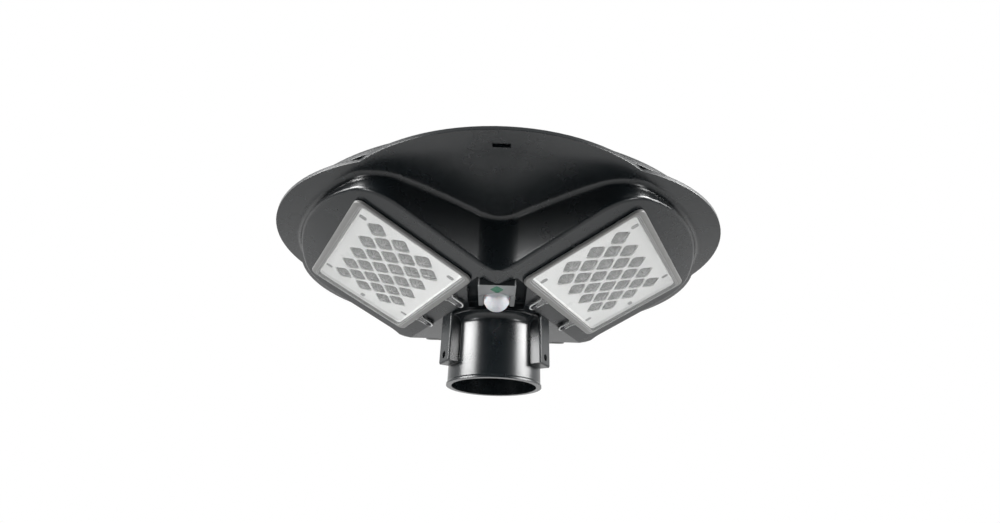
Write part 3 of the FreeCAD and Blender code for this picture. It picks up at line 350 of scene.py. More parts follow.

# %% [markdown]
# ## Finishes
# Most pieces are moulded plastic that differs in colour, gloss and grain. One function makes them
# all: the clouds vary colour and gloss a little, the edge mask lightens the edges with wear and a
# painted highlight, and the grain becomes a shallow bump on top of the rounded edge normal. A plain
# Principled colour would be quicker, but it looks like paint on a drawing, because no real moulding
# is even all over.

# %% Moulded plastic and metal
def use_group(tree, group, **values):
    node = tree.nodes.new("ShaderNodeGroup")
    node.node_tree = group
    for key, value in values.items():
        node.inputs[key.replace("_", " ")].default_value = value
    return node


def blend_colour(tree, factor, first, second):
    mix = tree.nodes.new("ShaderNodeMix")
    mix.data_type = "RGBA"
    tree.links.new(factor, mix.inputs["Factor"])
    for socket, value in ((mix.inputs["A"], first), (mix.inputs["B"], second)):
        if isinstance(value, bpy.types.NodeSocket):
            tree.links.new(value, socket)
        else:
            socket.default_value = (*value, 1)
    return mix.outputs["Result"]


CLOUD_RANGE = (0.3, 0.7)      # the part of the cloud mask that changes the gloss


def finish_with(name, colour, cloud_colour, edge_wear_and_highlight, roughness, spread, grain=1400.0, depth=0.00002,
                radius=0.0008, clouds=18.0, **shader_sockets):
    """Colour with clouds, edges lightened by wear and a painted highlight, varied roughness and a fine bump."""
    material = bpy.data.materials.new(name)
    material.use_nodes = True
    tree = material.node_tree
    shader = tree.nodes["Principled BSDF"]
    for key, value in shader_sockets.items():
        shader.inputs[key.replace("_", " ")].default_value = value
    texture = use_group(tree, GRAIN, Grain_per_metre=grain, Clouds_per_metre=clouds)
    edges = use_group(tree, WEAR_AND_HIGHLIGHT_EDGES, Radius=radius)
    base = blend_colour(tree, texture.outputs["Clouds"], colour, cloud_colour)
    # The edge colour is wear and a painted highlight together.
    tree.links.new(blend_colour(tree, edges.outputs["Edge"], base, edge_wear_and_highlight), shader.inputs["Base Color"])
    gloss = add(tree, "ShaderNodeMapRange", Value=texture.outputs["Clouds"])
    gloss.inputs["From Min"].default_value = CLOUD_RANGE[0]
    gloss.inputs["From Max"].default_value = CLOUD_RANGE[1]
    gloss.inputs["To Min"].default_value = roughness - spread
    gloss.inputs["To Max"].default_value = roughness + spread
    tree.links.new(gloss.outputs[0], shader.inputs["Roughness"])
    bump = add(tree, "ShaderNodeBump", Height=texture.outputs["Height"], Normal=edges.outputs["Normal"])
    bump.inputs["Distance"].default_value = depth
    tree.links.new(bump.outputs[0], shader.inputs["Normal"])
    return material


def glass_like(name, colour, roughness, ior, transmission):
    material = bpy.data.materials.new(name)
    material.use_nodes = True
    tree = material.node_tree
    shader = tree.nodes["Principled BSDF"]
    shader.inputs["IOR"].default_value = ior
    shader.inputs["Transmission Weight"].default_value = transmission
    texture = use_group(tree, GRAIN, Grain_per_metre=300.0, Clouds_per_metre=25.0)
    darker = tuple(channel * 0.96 for channel in colour)
    tree.links.new(blend_colour(tree, texture.outputs["Clouds"], colour, darker), shader.inputs["Base Color"])
    haze = add(tree, "ShaderNodeMapRange", Value=texture.outputs["Clouds"])
    haze.inputs["To Min"].default_value = roughness * 0.5
    haze.inputs["To Max"].default_value = roughness * 1.5
    tree.links.new(haze.outputs[0], shader.inputs["Roughness"])
    return material


print("finish makers ready")

# %% [markdown]
# ## All finishes
# The record names a material slot for every solid, and each slot has a finish here. The colours
# could be written beside each piece, but in one table they are easy to compare. The finer pieces
# further down have finishes without a slot of their own: the rim painted grey for caught light, the
# window, the clear ears and their beads painted with edge light, the moulded lenses and the
# blackened steel of the ear screws.

# %% Every finish of the light
finishes = {
    "housing": finish_with("satin black", (0.004, 0.006, 0.007), (0.006, 0.008, 0.0095), (0.02, 0.023, 0.025),
                           0.27, 0.03, IOR=1.5),
    "sensor_grey": finish_with("sensor grey", (0.20, 0.205, 0.21), (0.235, 0.24, 0.24), (0.36, 0.37, 0.37),
                               0.42, 0.05, radius=0.0005),
    "black_plastic": finish_with("inner black", (0.02, 0.02, 0.02), (0.03, 0.03, 0.03), (0.05, 0.05, 0.05),
                                 0.5, 0.08),
    "button_black": finish_with("button black", (0.012, 0.012, 0.012), (0.016, 0.016, 0.016),
                                (0.04, 0.04, 0.04), 0.22, 0.04, radius=0.0004),
    "white_plastic": finish_with("reflector white", (0.80, 0.80, 0.79), (0.76, 0.76, 0.75), (0.86, 0.86, 0.85),
                                 0.32, 0.06, radius=0.0003),
    "phosphor": finish_with("phosphor", (0.85, 0.66, 0.12), (0.80, 0.58, 0.09), (0.9, 0.8, 0.4), 0.55, 0.05,
                            radius=0.0002),
    "rubber": finish_with("seal rubber", (0.012, 0.012, 0.012), (0.02, 0.02, 0.02), (0.03, 0.03, 0.03),
                          0.75, 0.08, grain=900.0, depth=0.00004),
    "steel": finish_with("zinc steel", (0.56, 0.57, 0.58), (0.46, 0.47, 0.48), (0.7, 0.7, 0.7), 0.3, 0.08,
                         radius=0.0003, grain=2500.0, Metallic=1.0),
    "dark_steel": finish_with("blackened steel", (0.10, 0.10, 0.105), (0.07, 0.07, 0.075), (0.32, 0.32, 0.32),
                              0.34, 0.08, radius=0.0003, grain=2500.0, Metallic=1.0),
    "brass": finish_with("insert brass", (0.60, 0.42, 0.17), (0.5, 0.34, 0.13), (0.75, 0.58, 0.3), 0.3, 0.06,
                         radius=0.0003, Metallic=1.0),
    "aluminium": finish_with("bezel aluminium", (0.62, 0.63, 0.64), (0.55, 0.56, 0.57), (0.8, 0.8, 0.8), 0.32,
                             0.06, radius=0.0003, grain=2200.0, Metallic=1.0),
    "board": finish_with("board green", (0.02, 0.10, 0.04), (0.025, 0.14, 0.05), (0.25, 0.24, 0.12), 0.35,
                         0.05, grain=500.0, clouds=160.0),
    "board_white": finish_with("LED board", (0.055, 0.055, 0.052), (0.08, 0.078, 0.072), (0.1, 0.1, 0.1), 0.45,
                               0.05, clouds=90.0),
    "battery_wrap": finish_with("battery wrap", (0.04, 0.12, 0.30), (0.05, 0.14, 0.34), (0.2, 0.3, 0.45), 0.25,
                                0.05),
    "strap": finish_with("woven strap", (0.02, 0.02, 0.02), (0.03, 0.03, 0.03), (0.05, 0.05, 0.05), 0.85,
                         0.05, grain=1800.0, depth=0.0002),
    "cell_blue": finish_with("solar cell", (0.014, 0.022, 0.075), (0.022, 0.034, 0.105), (0.1, 0.1, 0.14), 0.25,
                             0.05, radius=0.0002, clouds=60.0),
    "milky": finish_with("milky dome", (0.56, 0.57, 0.59), (0.52, 0.53, 0.55), (0.68, 0.69, 0.71), 0.35, 0.05,
                         radius=0.0003, Subsurface_Weight=0.3, Subsurface_Scale=0.002),
    "green": finish_with("green window", (0.015, 0.12, 0.065), (0.02, 0.15, 0.085), (0.05, 0.25, 0.15), 0.2,
                         0.05, radius=0.0003),
    "clear": glass_like("clear polycarbonate", (0.96, 0.97, 0.97), 0.03, 1.5, 1.0),
    "window": finish_with("clear window", (0.9, 0.92, 0.92), (0.84, 0.86, 0.86), (0.95, 0.95, 0.95), 0.06, 0.02,
                          grain=300.0, depth=0.000003, radius=0.0002, Alpha=0.12),
    "solar_glass": finish_with("solar glass", (0.03, 0.035, 0.04), (0.05, 0.055, 0.06), (0.3, 0.32, 0.32), 0.08,
                               0.02, grain=300.0, depth=0.000003, radius=0.0004, clouds=8.0, Alpha=0.3),
    "ear_clear": finish_with("clear ear", (0.22, 0.225, 0.225), (0.28, 0.285, 0.285), (0.6, 0.6, 0.6), 0.12,
                             0.04, radius=0.0004, Alpha=0.35),
    # The lens's near-white edge colour is a painted highlight on the flute ridges.
    "lens_clear": finish_with("lens moulding", (0.035, 0.035, 0.033), (0.17, 0.17, 0.16), (0.75, 0.75, 0.73),
                              0.12, 0.04, grain=900.0, radius=0.0004, clouds=420.0, IOR=1.5),
    # Painted highlight: a near-white bead for the light caught in the ears' clear edges.
    "painted_edge_light": finish_with("clear bead", (0.80, 0.81, 0.81), (0.86, 0.87, 0.87), (0.95, 0.95, 0.95),
                               0.2, 0.04, radius=0.0003),
    # Painted light: this grey stands for light caught inside the clear rim and pegs.
    "frosted": finish_with("frosted rim", (0.15, 0.15, 0.146), (0.20, 0.20, 0.196), (0.55, 0.56, 0.56),
                           0.38, 0.05, radius=0.0006),
}
print("finishes:", len(finishes))

# %% [markdown]
# ## Sensor housing
# The sensor housing is grey only on its face. Its skirt, which goes into the recess, is painted
# black as the recess's shade, so the finish changes colour with height. A second material on some
# faces would do the same, but the solid's faces would have to be picked one by one.

# %% Grey face, skirt painted black as shade
SENSOR_FACE = 60.5 * MM
SKIRT_EDGE = 0.4 * MM
# Painted shade: black for the skirt, which sits in the recess's shade.
SKIRT_PAINTED_SHADE = (0.006, 0.008, 0.009)


def sensor_finish():
    material = finishes["sensor_grey"]
    tree = material.node_tree
    shader = tree.nodes["Principled BSDF"]
    height = add(tree, "ShaderNodeSeparateXYZ", Vector=add(tree, "ShaderNodeTexCoord").outputs["Object"])
    shaded_skirt = math_node(tree, "GREATER_THAN", height.outputs["Z"], SENSOR_FACE + SKIRT_EDGE)
    face = shader.inputs["Base Color"].links[0].from_socket
    tree.links.new(blend_colour(tree, shaded_skirt, face, SKIRT_PAINTED_SHADE), shader.inputs["Base Color"])


sensor_finish()
print("sensor face at", round(SENSOR_FACE / MM, 1), "mm")

# %% [markdown]
# ## Dress the solids
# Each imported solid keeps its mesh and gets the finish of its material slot. Where a finer piece
# replaces a solid further down, that piece says so. The glass over the solar cells is the one solid
# with a finish of its own. It could be real glass, but that keeps the lamps' direct light off the
# cells, so it has a low alpha.

# %% Give every solid its finish
OTHER_FINISH = {"solar_glass": "solar_glass"}
slots = {part["node"]: part["material_slot"] for part in frame["record"]["subparts"]}
for name, node in frame["nodes"].items():
    node.data.materials.clear()
    node.data.materials.append(finishes[OTHER_FINISH.get(name, slots[name])])
print("dressed", len(slots), "solids")

# %% [markdown]
# ## The tilted panels
# The three lens panels are alike, so each piece is built once in a flat frame of its own: x runs up
# the slope from the cover's inner edge, y runs across and z points into the body. One matrix per
# wing then carries it into place. The place ends up in the mesh, so every object stays at the origin.

# %% Frame of a panel
WING_TURNS = {"rear": 90, "left": 210, "right": 330}
TILT = math.radians(22.3)
PANEL_EDGE = Vector((67.4 * MM, 0, 67.2 * MM))
COVER_LENGTH = 110.8 * MM
COVER_WIDTH = 157.7 * MM


def wing_matrix(side):
    turn = Matrix.Rotation(math.radians(WING_TURNS[side]), 4, "Z")
    return turn @ Matrix.Translation(PANEL_EDGE) @ Matrix.Rotation(-TILT, 4, "Y")


def new_piece(name, mesh, finish, body="lamp", smooth_angle=None):
    mesh.materials.clear()
    mesh.materials.append(finishes[finish])
    piece = bpy.data.objects.new(name, mesh)
    bpy.context.scene.collection.objects.link(piece)
    if smooth_angle is not None:
        mesh.shade_smooth()
        mesh.set_sharp_from_angle(angle=math.radians(smooth_angle))
    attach(piece, body)
    return piece


def rounded_rectangle(x0, x1, half_y, radius, steps=8):
    """Points of a rounded rectangle in the panel's plane, anticlockwise."""
    points = []
    corners = [(x1 - radius, half_y - radius, 0), (x0 + radius, half_y - radius, 90),
               (x0 + radius, radius - half_y, 180), (x1 - radius, radius - half_y, 270)]
    for cx, cy, start in corners:
        for step in range(steps + 1):
            angle = math.radians(start + 90 * step / steps)
            points.append((cx + radius * math.cos(angle), cy + radius * math.sin(angle)))
    return points


def stack_of_loops(loops, closed_ring=False):
    """Mesh from loops of equal length, joined in order; a ring also joins its last loop to its first."""
    mesh = bmesh.new()
    rows = [[mesh.verts.new(point) for point in loop] for loop in loops]
    pairs = list(zip(rows, rows[1:])) + ([(rows[-1], rows[0])] if closed_ring else [])
    for low, high in pairs:
        for i in range(len(low)):
            j = (i + 1) % len(low)
            mesh.faces.new((low[i], low[j], high[j], high[i]))
    if not closed_ring:
        mesh.faces.new(rows[0])
        mesh.faces.new(rows[-1])
    bmesh.ops.recalc_face_normals(mesh, faces=mesh.faces)
    data = bpy.data.meshes.new("loops")
    mesh.to_mesh(data)
    mesh.free()
    return data


def placed_copy(mesh, matrix, name):
    copy = mesh.copy()
    copy.name = name
    copy.transform(matrix)
    return copy


print("panel tilt", round(math.degrees(TILT), 1), "degrees")

# %% [markdown]
# ## Lens cover
# The cover is one clear moulding. Its thick rim looks grey, because light is caught inside it,
# while the thin window in the middle is almost invisible. It could be a single glass solid, but
# then the rim would show the black body behind it, and glass would keep the lamps' direct light off
# the reflector. So a rim painted grey for the caught light, two clear ears with a bead each painted
# bright for the light in their edges, and a window with a low alpha, which lets the light through,
# give the looks between them.

# %% Frosted rim
FACE_SIDE = -0.8 * MM
COVER_TOP = -3.5 * MM
RIM_ENDS = 7.0 * MM
RIM_SIDES = 3.2 * MM
RIM_ROUNDING = 1.1 * MM
RIM_STEP = 0.3 * MM
RIM_LIP = 0.05 * MM
COVER_CORNER = 7.0 * MM
WINDOW_CORNER = 2.5 * MM
CORNER_SHRINK = 0.45          # how fast the corners tighten towards the window
# share of the rim's width and drop below the cover's top, from the flat part to the window
RIM_PROFILE = ((0.70, 0), (0.73, RIM_STEP), (0.88, RIM_STEP), (0.91, RIM_LIP), (1, RIM_LIP))


def rim_loop(share, depth, z):
    """A loop inside the cover's outline: share runs from 0 at the edge to 1 at the window."""
    ends = max(RIM_ENDS * share, depth)
    sides = max(RIM_SIDES * share, depth)
    radius = max(COVER_CORNER - max(ends, sides) * CORNER_SHRINK, WINDOW_CORNER)
    outline = rounded_rectangle(ends, COVER_LENGTH - ends, COVER_WIDTH / 2 - sides, radius)
    return [(x, y, z) for x, y in outline]


def cover_rim_mesh():
    arc = [(RIM_ROUNDING * (1 - math.cos(math.radians(a))), RIM_ROUNDING * (1 - math.sin(math.radians(a))))
           for a in (0, 30, 60, 90)]
    loops = [rim_loop(0, 0, FACE_SIDE)]
    loops += [rim_loop(0, inset, COVER_TOP + drop) for inset, drop in arc]
    loops += [rim_loop(share, 0, COVER_TOP + drop) for share, drop in RIM_PROFILE]
    loops.append(rim_loop(1, 0, FACE_SIDE))
    return stack_of_loops(loops, closed_ring=True)


rim_master = cover_rim_mesh()
print("rim faces", len(rim_master.polygons))

# %% [markdown]
# ## Screw ears
# Two ears stick out of the cover's inner edge, with a screw through each, and clear plastic gathers
# light along their edges. That light is painted: a raised bead, nearly white, runs along each edge.
# A box with a Boolean hole would do for an ear, but its edges turn ragged where it flares into the
# rim. So the outline is drawn once, with arcs, and the ear and its bead are both stacks of loops
# that follow it.

# %% Screw ears
EAR_REACH = 11.0 * MM
EAR_OFFSET = 33.5 * MM
EAR_RADIUS = 4.6 * MM
EAR_THICKNESS = 2.0 * MM
EAR_HOLE = 1.75 * MM
EAR_FLARE = 3.0 * MM
EAR_ROUNDING = 0.35 * MM
EAR_ROOT = 1.0 * MM           # how far an ear reaches under the rim
FLARE_POINTS = 7
BEAD_PROFILE = ((0.02, 0.7), (0.1, -0.15), (0.55, -0.35), (1.0, -0.15), (1.1, 0.3))  # inset and drop, mm


def ear_outline(side):
    y0 = side * EAR_OFFSET
    points = []
    for a in range(0, 91, 15):
        angle = math.radians(a)
        points.append((-EAR_FLARE + EAR_FLARE * math.cos(angle) + EAR_ROOT * (a == 0),
                       y0 - EAR_RADIUS - EAR_FLARE + EAR_FLARE * math.sin(angle)))
    for a in range(270, 89, -12):
        angle = math.radians(a)
        points.append((-EAR_REACH + EAR_RADIUS * math.cos(angle), y0 + EAR_RADIUS * math.sin(angle)))
    mirrored = [(x, 2 * y0 - y) for x, y in points[:FLARE_POINTS]]
    return points + mirrored[::-1]


def ear_mesh(side):
    outline = ear_outline(side)
    y0 = side * EAR_OFFSET
    centre = Vector((-EAR_REACH, y0))
    hole = []
    for x, y in outline:
        away = (Vector((x, y)) - centre).normalized()
        hole.append((centre.x + away.x * EAR_HOLE, centre.y + away.y * EAR_HOLE))
    low, high = FACE_SIDE, FACE_SIDE - EAR_THICKNESS
    rounded = high + EAR_ROUNDING

    def shrink(points, amount, z):
        out = []
        for x, y in points:
            away = (Vector((x, y)) - centre).normalized()
            out.append((x - away.x * amount, y - away.y * amount, z))
        return out

    loops = [shrink(outline, 0, low), shrink(outline, 0, rounded), shrink(outline, EAR_ROUNDING, high),
             shrink(hole, -EAR_ROUNDING, high), shrink(hole, 0, rounded), shrink(hole, 0, low)]
    return stack_of_loops(loops, closed_ring=True)


def ear_light_bead_mesh(side):
    """Raised bead along an ear's edge, painted nearly white for the light the clear plastic gathers there."""
    outline = ear_outline(side)
    centre = Vector((-EAR_REACH, side * EAR_OFFSET))
    top = FACE_SIDE - EAR_THICKNESS
    loops = []
    for inset, drop in BEAD_PROFILE:
        loop = []
        for x, y in outline:
            away = (Vector((x, y)) - centre).normalized() * inset * MM
            loop.append((x - away.x, y - away.y, top + drop * MM))
        loops.append(loop)
    return stack_of_loops(loops, closed_ring=True)


print("ear outline has", len(ear_outline(1)), "points")

# %% [markdown]
# ## Window and covers
# The window is the flat middle of the cover. A single sheet of faces would show as well from the
# front, but a plate has real thickness from every side. One helper then sets a copy of any master
# on a wing and says which solid it stands for: rim, ears, beads and window all stand for the cover.

# %% Window, and the covers put together
PANE_TOP = COVER_TOP + 0.1 * MM
PANE_UNDER = -1.5 * MM
PANE_GAP = 0.05 * MM
PANE_CORNER = 3.8 * MM


def join_meshes(meshes, name):
    joined = bmesh.new()
    for mesh in meshes:
        joined.from_mesh(mesh)
    data = bpy.data.meshes.new(name)
    joined.to_mesh(data)
    joined.free()
    return data


def window_mesh():
    inset = RIM_ENDS + PANE_GAP
    outline = rounded_rectangle(inset, COVER_LENGTH - RIM_ENDS - PANE_GAP,
                                COVER_WIDTH / 2 - RIM_SIDES - PANE_GAP, PANE_CORNER)
    return stack_of_loops([[(x, y, z) for x, y in outline] for z in (PANE_TOP, PANE_UNDER)])


def wing_piece(name, side, master, finish, stands_for=None, smooth_angle=None):
    """Copy of a master on one wing, which replaces that wing's solid if it stands for one."""
    mesh = placed_copy(master, wing_matrix(side), name + "_" + side)
    piece = new_piece(name + "_" + side, mesh, finish, smooth_angle=smooth_angle)
    if stands_for:
        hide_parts(stands_for + "_" + side)


ears_master = join_meshes([ear_mesh(-1), ear_mesh(1)], "cover ears")
light_beads_master = join_meshes([ear_light_bead_mesh(-1), ear_light_bead_mesh(1)], "ear light beads")
window_master = window_mesh()
for side in WING_TURNS:
    wing_piece("cover_rim", side, rim_master, "frosted", "lens_cover", smooth_angle=35)
    wing_piece("cover_ears", side, ears_master, "ear_clear", "lens_cover", smooth_angle=35)
    wing_piece("ear_light_beads", side, light_beads_master, "painted_edge_light", "lens_cover", smooth_angle=50)
    wing_piece("cover_window", side, window_master, "window", "lens_cover")
print("covers:", len(WING_TURNS))

# %% [markdown]
# ## The lenses
# Under the white plate lies a clear sheet with 27 moulded lenses. Each lens is a low dome on a
# rounded diamond, with flutes that fan out from its middle. A bump pattern could draw the flutes,
# but the exported mesh would lose them, so one lens is built in mesh code, ring by ring. A white
# funnel lines each opening of the reflector round the lens and ends at the lens's foot.

# %% One fluted lens
PITCH_SLOPE = 11.5 * MM
PITCH_ACROSS = 25.5 * MM
LENS_WEB = 1.1 * MM
LENS_HEIGHT = 3.0 * MM
LENS_FOOT = 0.84          # a lens's foot, as a share of its opening
PLATE_FACE = 2.1 * MM
LENS_BASE = 4.1 * MM
SHEET_THICKNESS = 1.4 * MM
FLUTES = 10
FLUTE_DEPTH = 0.5 * MM
POINTS_PER_FLUTE = 6
UNEVEN_WAVES = 17             # a second wave that makes the flutes uneven
UNEVEN_SHARE = 0.6
LENS_RINGS = (1.0, 0.97, 0.88, 0.72, 0.52, 0.3, 0.12)
LENS_CROWN = 2.2              # 2 is a round dome, more is flatter on top
DIAMOND_POWER = 1.45          # 1 is a sharp diamond, 2 an ellipse
CUP_POINTS = 48
CUP_PROFILE = ((1.0, PLATE_FACE + 0.6 * MM), (1.0, PLATE_FACE - 0.03 * MM), (0.96, PLATE_FACE + 0.2 * MM),
               (LENS_FOOT, LENS_BASE - 0.2 * MM), (LENS_FOOT, LENS_BASE))  # share of the opening, height


def diamond_radius(angle):
    """Distance from a lens's middle to its rounded-diamond outline."""
    shrink = LENS_WEB * math.hypot(PITCH_SLOPE, PITCH_ACROSS / 2) / (PITCH_SLOPE * PITCH_ACROSS / 2)
    a, b = PITCH_SLOPE * (1 - shrink), PITCH_ACROSS / 2 * (1 - shrink)
    corner = abs(math.cos(angle) / a) ** DIAMOND_POWER + abs(math.sin(angle) / b) ** DIAMOND_POWER
    return corner ** (-1 / DIAMOND_POWER)


def lens_mesh():
    around = FLUTES * POINTS_PER_FLUTE
    loops = []
    for share in LENS_RINGS:
        loop = []
        for i in range(around):
            angle = 2 * math.pi * i / around
            reach = diamond_radius(angle) * share * LENS_FOOT
            wave = math.cos(FLUTES * angle) + UNEVEN_SHARE * math.cos(UNEVEN_WAVES * angle + 1.0)
            flute = FLUTE_DEPTH * wave * math.sin(math.pi * share)
            height = LENS_HEIGHT * math.sqrt(max(0.0, 1 - share ** LENS_CROWN)) + flute
            loop.append((reach * math.cos(angle), reach * math.sin(angle), LENS_BASE - height))
        loops.append(loop)
    floor = [(x, y, LENS_BASE + SHEET_THICKNESS * 0.5) for x, y, _ in loops[0]]
    return stack_of_loops([floor] + loops)


def cup_mesh():
    """White funnel that lines one opening of the reflector and ends at the lens's foot."""
    loops = []
    for share, z in CUP_PROFILE:
        loop = []
        for i in range(CUP_POINTS):
            angle = 2 * math.pi * i / CUP_POINTS
            reach = diamond_radius(angle) * share
            loop.append((reach * math.cos(angle), reach * math.sin(angle), z))
        loops.append(loop)
    return stack_of_loops(loops, closed_ring=True)


lens_master = lens_mesh()
cup_master = cup_mesh()
print("one lens has", len(lens_master.polygons), "faces")

# %% [markdown]
# ## Set the lenses out
# The columns hold five and four lenses in turn, so every second column is shifted by half a pitch.
# An Array modifier could repeat a row, but not the staggered columns. So a Geometry Nodes tree turns
# an index into a column and a row, sets a point there and makes the copies real. The same tree sets
# out the funnels.

# %% Set the lenses out with Geometry Nodes
def geometry_tree(name, inputs):
    tree = bpy.data.node_groups.new(name, "GeometryNodeTree")
    tree.interface.new_socket("Geometry", in_out="INPUT", socket_type="NodeSocketGeometry")
    for label, kind, default in inputs:
        socket = tree.interface.new_socket(label, in_out="INPUT", socket_type=kind)
        if default is not None:
            socket.default_value = default
    tree.interface.new_socket("Geometry", in_out="OUTPUT", socket_type="NodeSocketGeometry")
    return tree, tree.nodes.new("NodeGroupInput"), tree.nodes.new("NodeGroupOutput")


def finish_tree(tree, group_in, group_out, instances):
    """Realize the instances, set the material and send them out."""
    real = add(tree, "GeometryNodeRealizeInstances", Geometry=instances)
    painted = add(tree, "GeometryNodeSetMaterial", Geometry=real.outputs[0])
    tree.links.new(group_in.outputs["Material"], painted.inputs["Material"])
    tree.links.new(painted.outputs[0], group_out.inputs[0])


def lens_tree():
    tree, group_in, group_out = geometry_tree("staggered lenses", [
        ("Pitch up the slope", "NodeSocketFloat", PITCH_SLOPE),
        ("Pitch across", "NodeSocketFloat", PITCH_ACROSS),
        ("Long row", "NodeSocketInt", 2), ("Column pairs", "NodeSocketInt", 1),
        ("First place", "NodeSocketFloat", 0.0), ("Material", "NodeSocketMaterial", None)])
    given = group_in.outputs
    per_pair = math_node(tree, "SUBTRACT", math_node(tree, "MULTIPLY", given["Long row"], 2.0), 1.0)
    index = add(tree, "GeometryNodeInputIndex").outputs[0]
    pair = math_node(tree, "FLOOR", math_node(tree, "DIVIDE", math_node(tree, "ADD", index, 0.5), per_pair))
    within = math_node(tree, "SUBTRACT", index, math_node(tree, "MULTIPLY", pair, per_pair))
    short = math_node(tree, "GREATER_THAN", math_node(tree, "ADD", within, 0.5), given["Long row"])
    column = math_node(tree, "ADD", math_node(tree, "MULTIPLY", pair, 2.0), short)
    row = math_node(tree, "SUBTRACT", within, math_node(tree, "MULTIPLY", short, given["Long row"]))
    last_row = math_node(tree, "SUBTRACT", math_node(tree, "SUBTRACT", given["Long row"], 1.0), short)
    from_middle = math_node(tree, "SUBTRACT", row, math_node(tree, "DIVIDE", last_row, 2.0))
    x = math_node(tree, "SUBTRACT", given["First place"],
                  math_node(tree, "MULTIPLY", column, given["Pitch up the slope"]))
    y = math_node(tree, "MULTIPLY", from_middle, given["Pitch across"])
    place = add(tree, "ShaderNodeCombineXYZ", X=x, Y=y)
    count = math_node(tree, "MULTIPLY", given["Column pairs"], per_pair)
    points = add(tree, "GeometryNodePoints", Count=count, Position=place.outputs[0])
    copies = add(tree, "GeometryNodeInstanceOnPoints", Points=points.outputs[0], Instance=given["Geometry"])
    finish_tree(tree, group_in, group_out, copies.outputs[0])
    return tree


def run_tree(mesh, tree, values, name):
    """Plain mesh that the tree makes from a mesh, with the modifier's inputs set by identifier."""
    carrier = bpy.data.objects.new(name, mesh)
    bpy.context.scene.collection.objects.link(carrier)
    modifier = carrier.modifiers.new("set out", "NODES")
    modifier.node_group = tree
    for item in tree.interface.items_tree:
        if item.item_type == "SOCKET" and item.in_out == "INPUT" and item.name in values:
            modifier[item.identifier] = values[item.name]
    bpy.context.view_layer.update()
    seen = carrier.evaluated_get(bpy.context.evaluated_depsgraph_get())
    result = bpy.data.meshes.new_from_object(seen)
    result.name = name
    carrier.modifiers.remove(modifier)
    bpy.data.objects.remove(carrier)
    return result


LONG_ROW = 5
COLUMN_PAIRS = 3
first_place = COVER_LENGTH / 2 + PITCH_SLOPE * (2 * COLUMN_PAIRS - 1) / 2
staggered = lens_tree()
layout = {"First place": first_place, "Long row": LONG_ROW, "Column pairs": COLUMN_PAIRS,
          "Pitch up the slope": PITCH_SLOPE, "Pitch across": PITCH_ACROSS}
lens_field = run_tree(lens_master, staggered, {**layout, "Material": finishes["lens_clear"]}, "lens field")
cup_field = run_tree(cup_master, staggered, {**layout, "Material": finishes["white_plastic"]}, "cup field")
print("lens field has", len(lens_field.polygons), "faces, cup field has", len(cup_field.polygons))

# %% [markdown]
# ## Lens sheets, pegs and lining
# The sheet that joins the lenses is a thin rounded plate, with six round-ended pegs that poke
# through the slots of the reflector. The reflector gets an upturned lip, which hides the gap below
# the cover's rim. These are plain stacks of loops, which is less work than bevelled boxes and gives
# every rounded edge where it is wanted.

# %% Lens sheets on the three wings
TRAY_ENDS = 7.5 * MM
TRAY_SIDES = 4.1 * MM
PEG_LENGTH = 7.0 * MM
PEG_WIDTH = 5.0 * MM
PEG_EDGE = 1.0 * MM
PEG_INSET = 20.0 * MM
PEG_PLAY = 0.1 * MM
PEG_CORNER = 0.6              # share of the peg's half width
PEG_PROFILE = ((0.5 * MM, 0), (-1.9 * MM, 0), (-2.2 * MM, 0.3 * MM))  # height from the lens base, inset
SHEET_CORNER = 4.5 * MM
LIP_CORNER = 4.7 * MM
LIP_PLAY = 0.2 * MM
LIP_PROFILE = (  # inset, height
    (0, PLATE_FACE + 0.5 * MM), (0, FACE_SIDE + 0.1 * MM), (0.5 * MM, FACE_SIDE + 0.1 * MM),
    (0.6 * MM, PLATE_FACE - 0.4 * MM), (1.2 * MM, PLATE_FACE - 0.02 * MM), (1.2 * MM, PLATE_FACE + 0.5 * MM))


def sheet_plate():
    outline = rounded_rectangle(TRAY_ENDS, COVER_LENGTH - TRAY_ENDS, COVER_WIDTH / 2 - TRAY_SIDES,
                                SHEET_CORNER)
    return stack_of_loops([[(x, y, z) for x, y in outline] for z in (LENS_BASE, LENS_BASE + SHEET_THICKNESS)])


def peg(x, y, across):
    half, radius = PEG_LENGTH / 2 - PEG_PLAY, PEG_WIDTH / 2 - PEG_PLAY
    loops = []
    for rise, inset in PEG_PROFILE:
        z = LENS_BASE + rise
        flat = rounded_rectangle(-half + inset, half - inset, radius - inset, (radius - inset) * PEG_CORNER, 6)
        loops.append([(x - b, y + a, z) if across else (x + a, y + b, z) for a, b in flat])
    return stack_of_loops(loops)


def pegs():
    inward = PEG_EDGE + PEG_LENGTH / 2
    side_y = COVER_WIDTH / 2 - TRAY_SIDES
    found = [peg(x, sign * (side_y - PEG_INSET), False)
             for x in (TRAY_ENDS + inward, COVER_LENGTH - TRAY_ENDS - inward) for sign in (-1, 1)]
    return found + [peg(COVER_LENGTH / 2, sign * (side_y - inward), True) for sign in (-1, 1)]


def reflector_lip():
    """Upturned edge of the reflector, which hides the gap below the cover's rim."""
    ends, sides = TRAY_ENDS - LIP_PLAY, TRAY_SIDES - LIP_PLAY
    loops = []
    for inset, z in LIP_PROFILE:
        outline = rounded_rectangle(ends + inset, COVER_LENGTH - ends - inset, COVER_WIDTH / 2 - sides - inset,
                                    LIP_CORNER - inset)
        loops.append([(x, y, z) for x, y in outline])
    return stack_of_loops(loops, closed_ring=True)


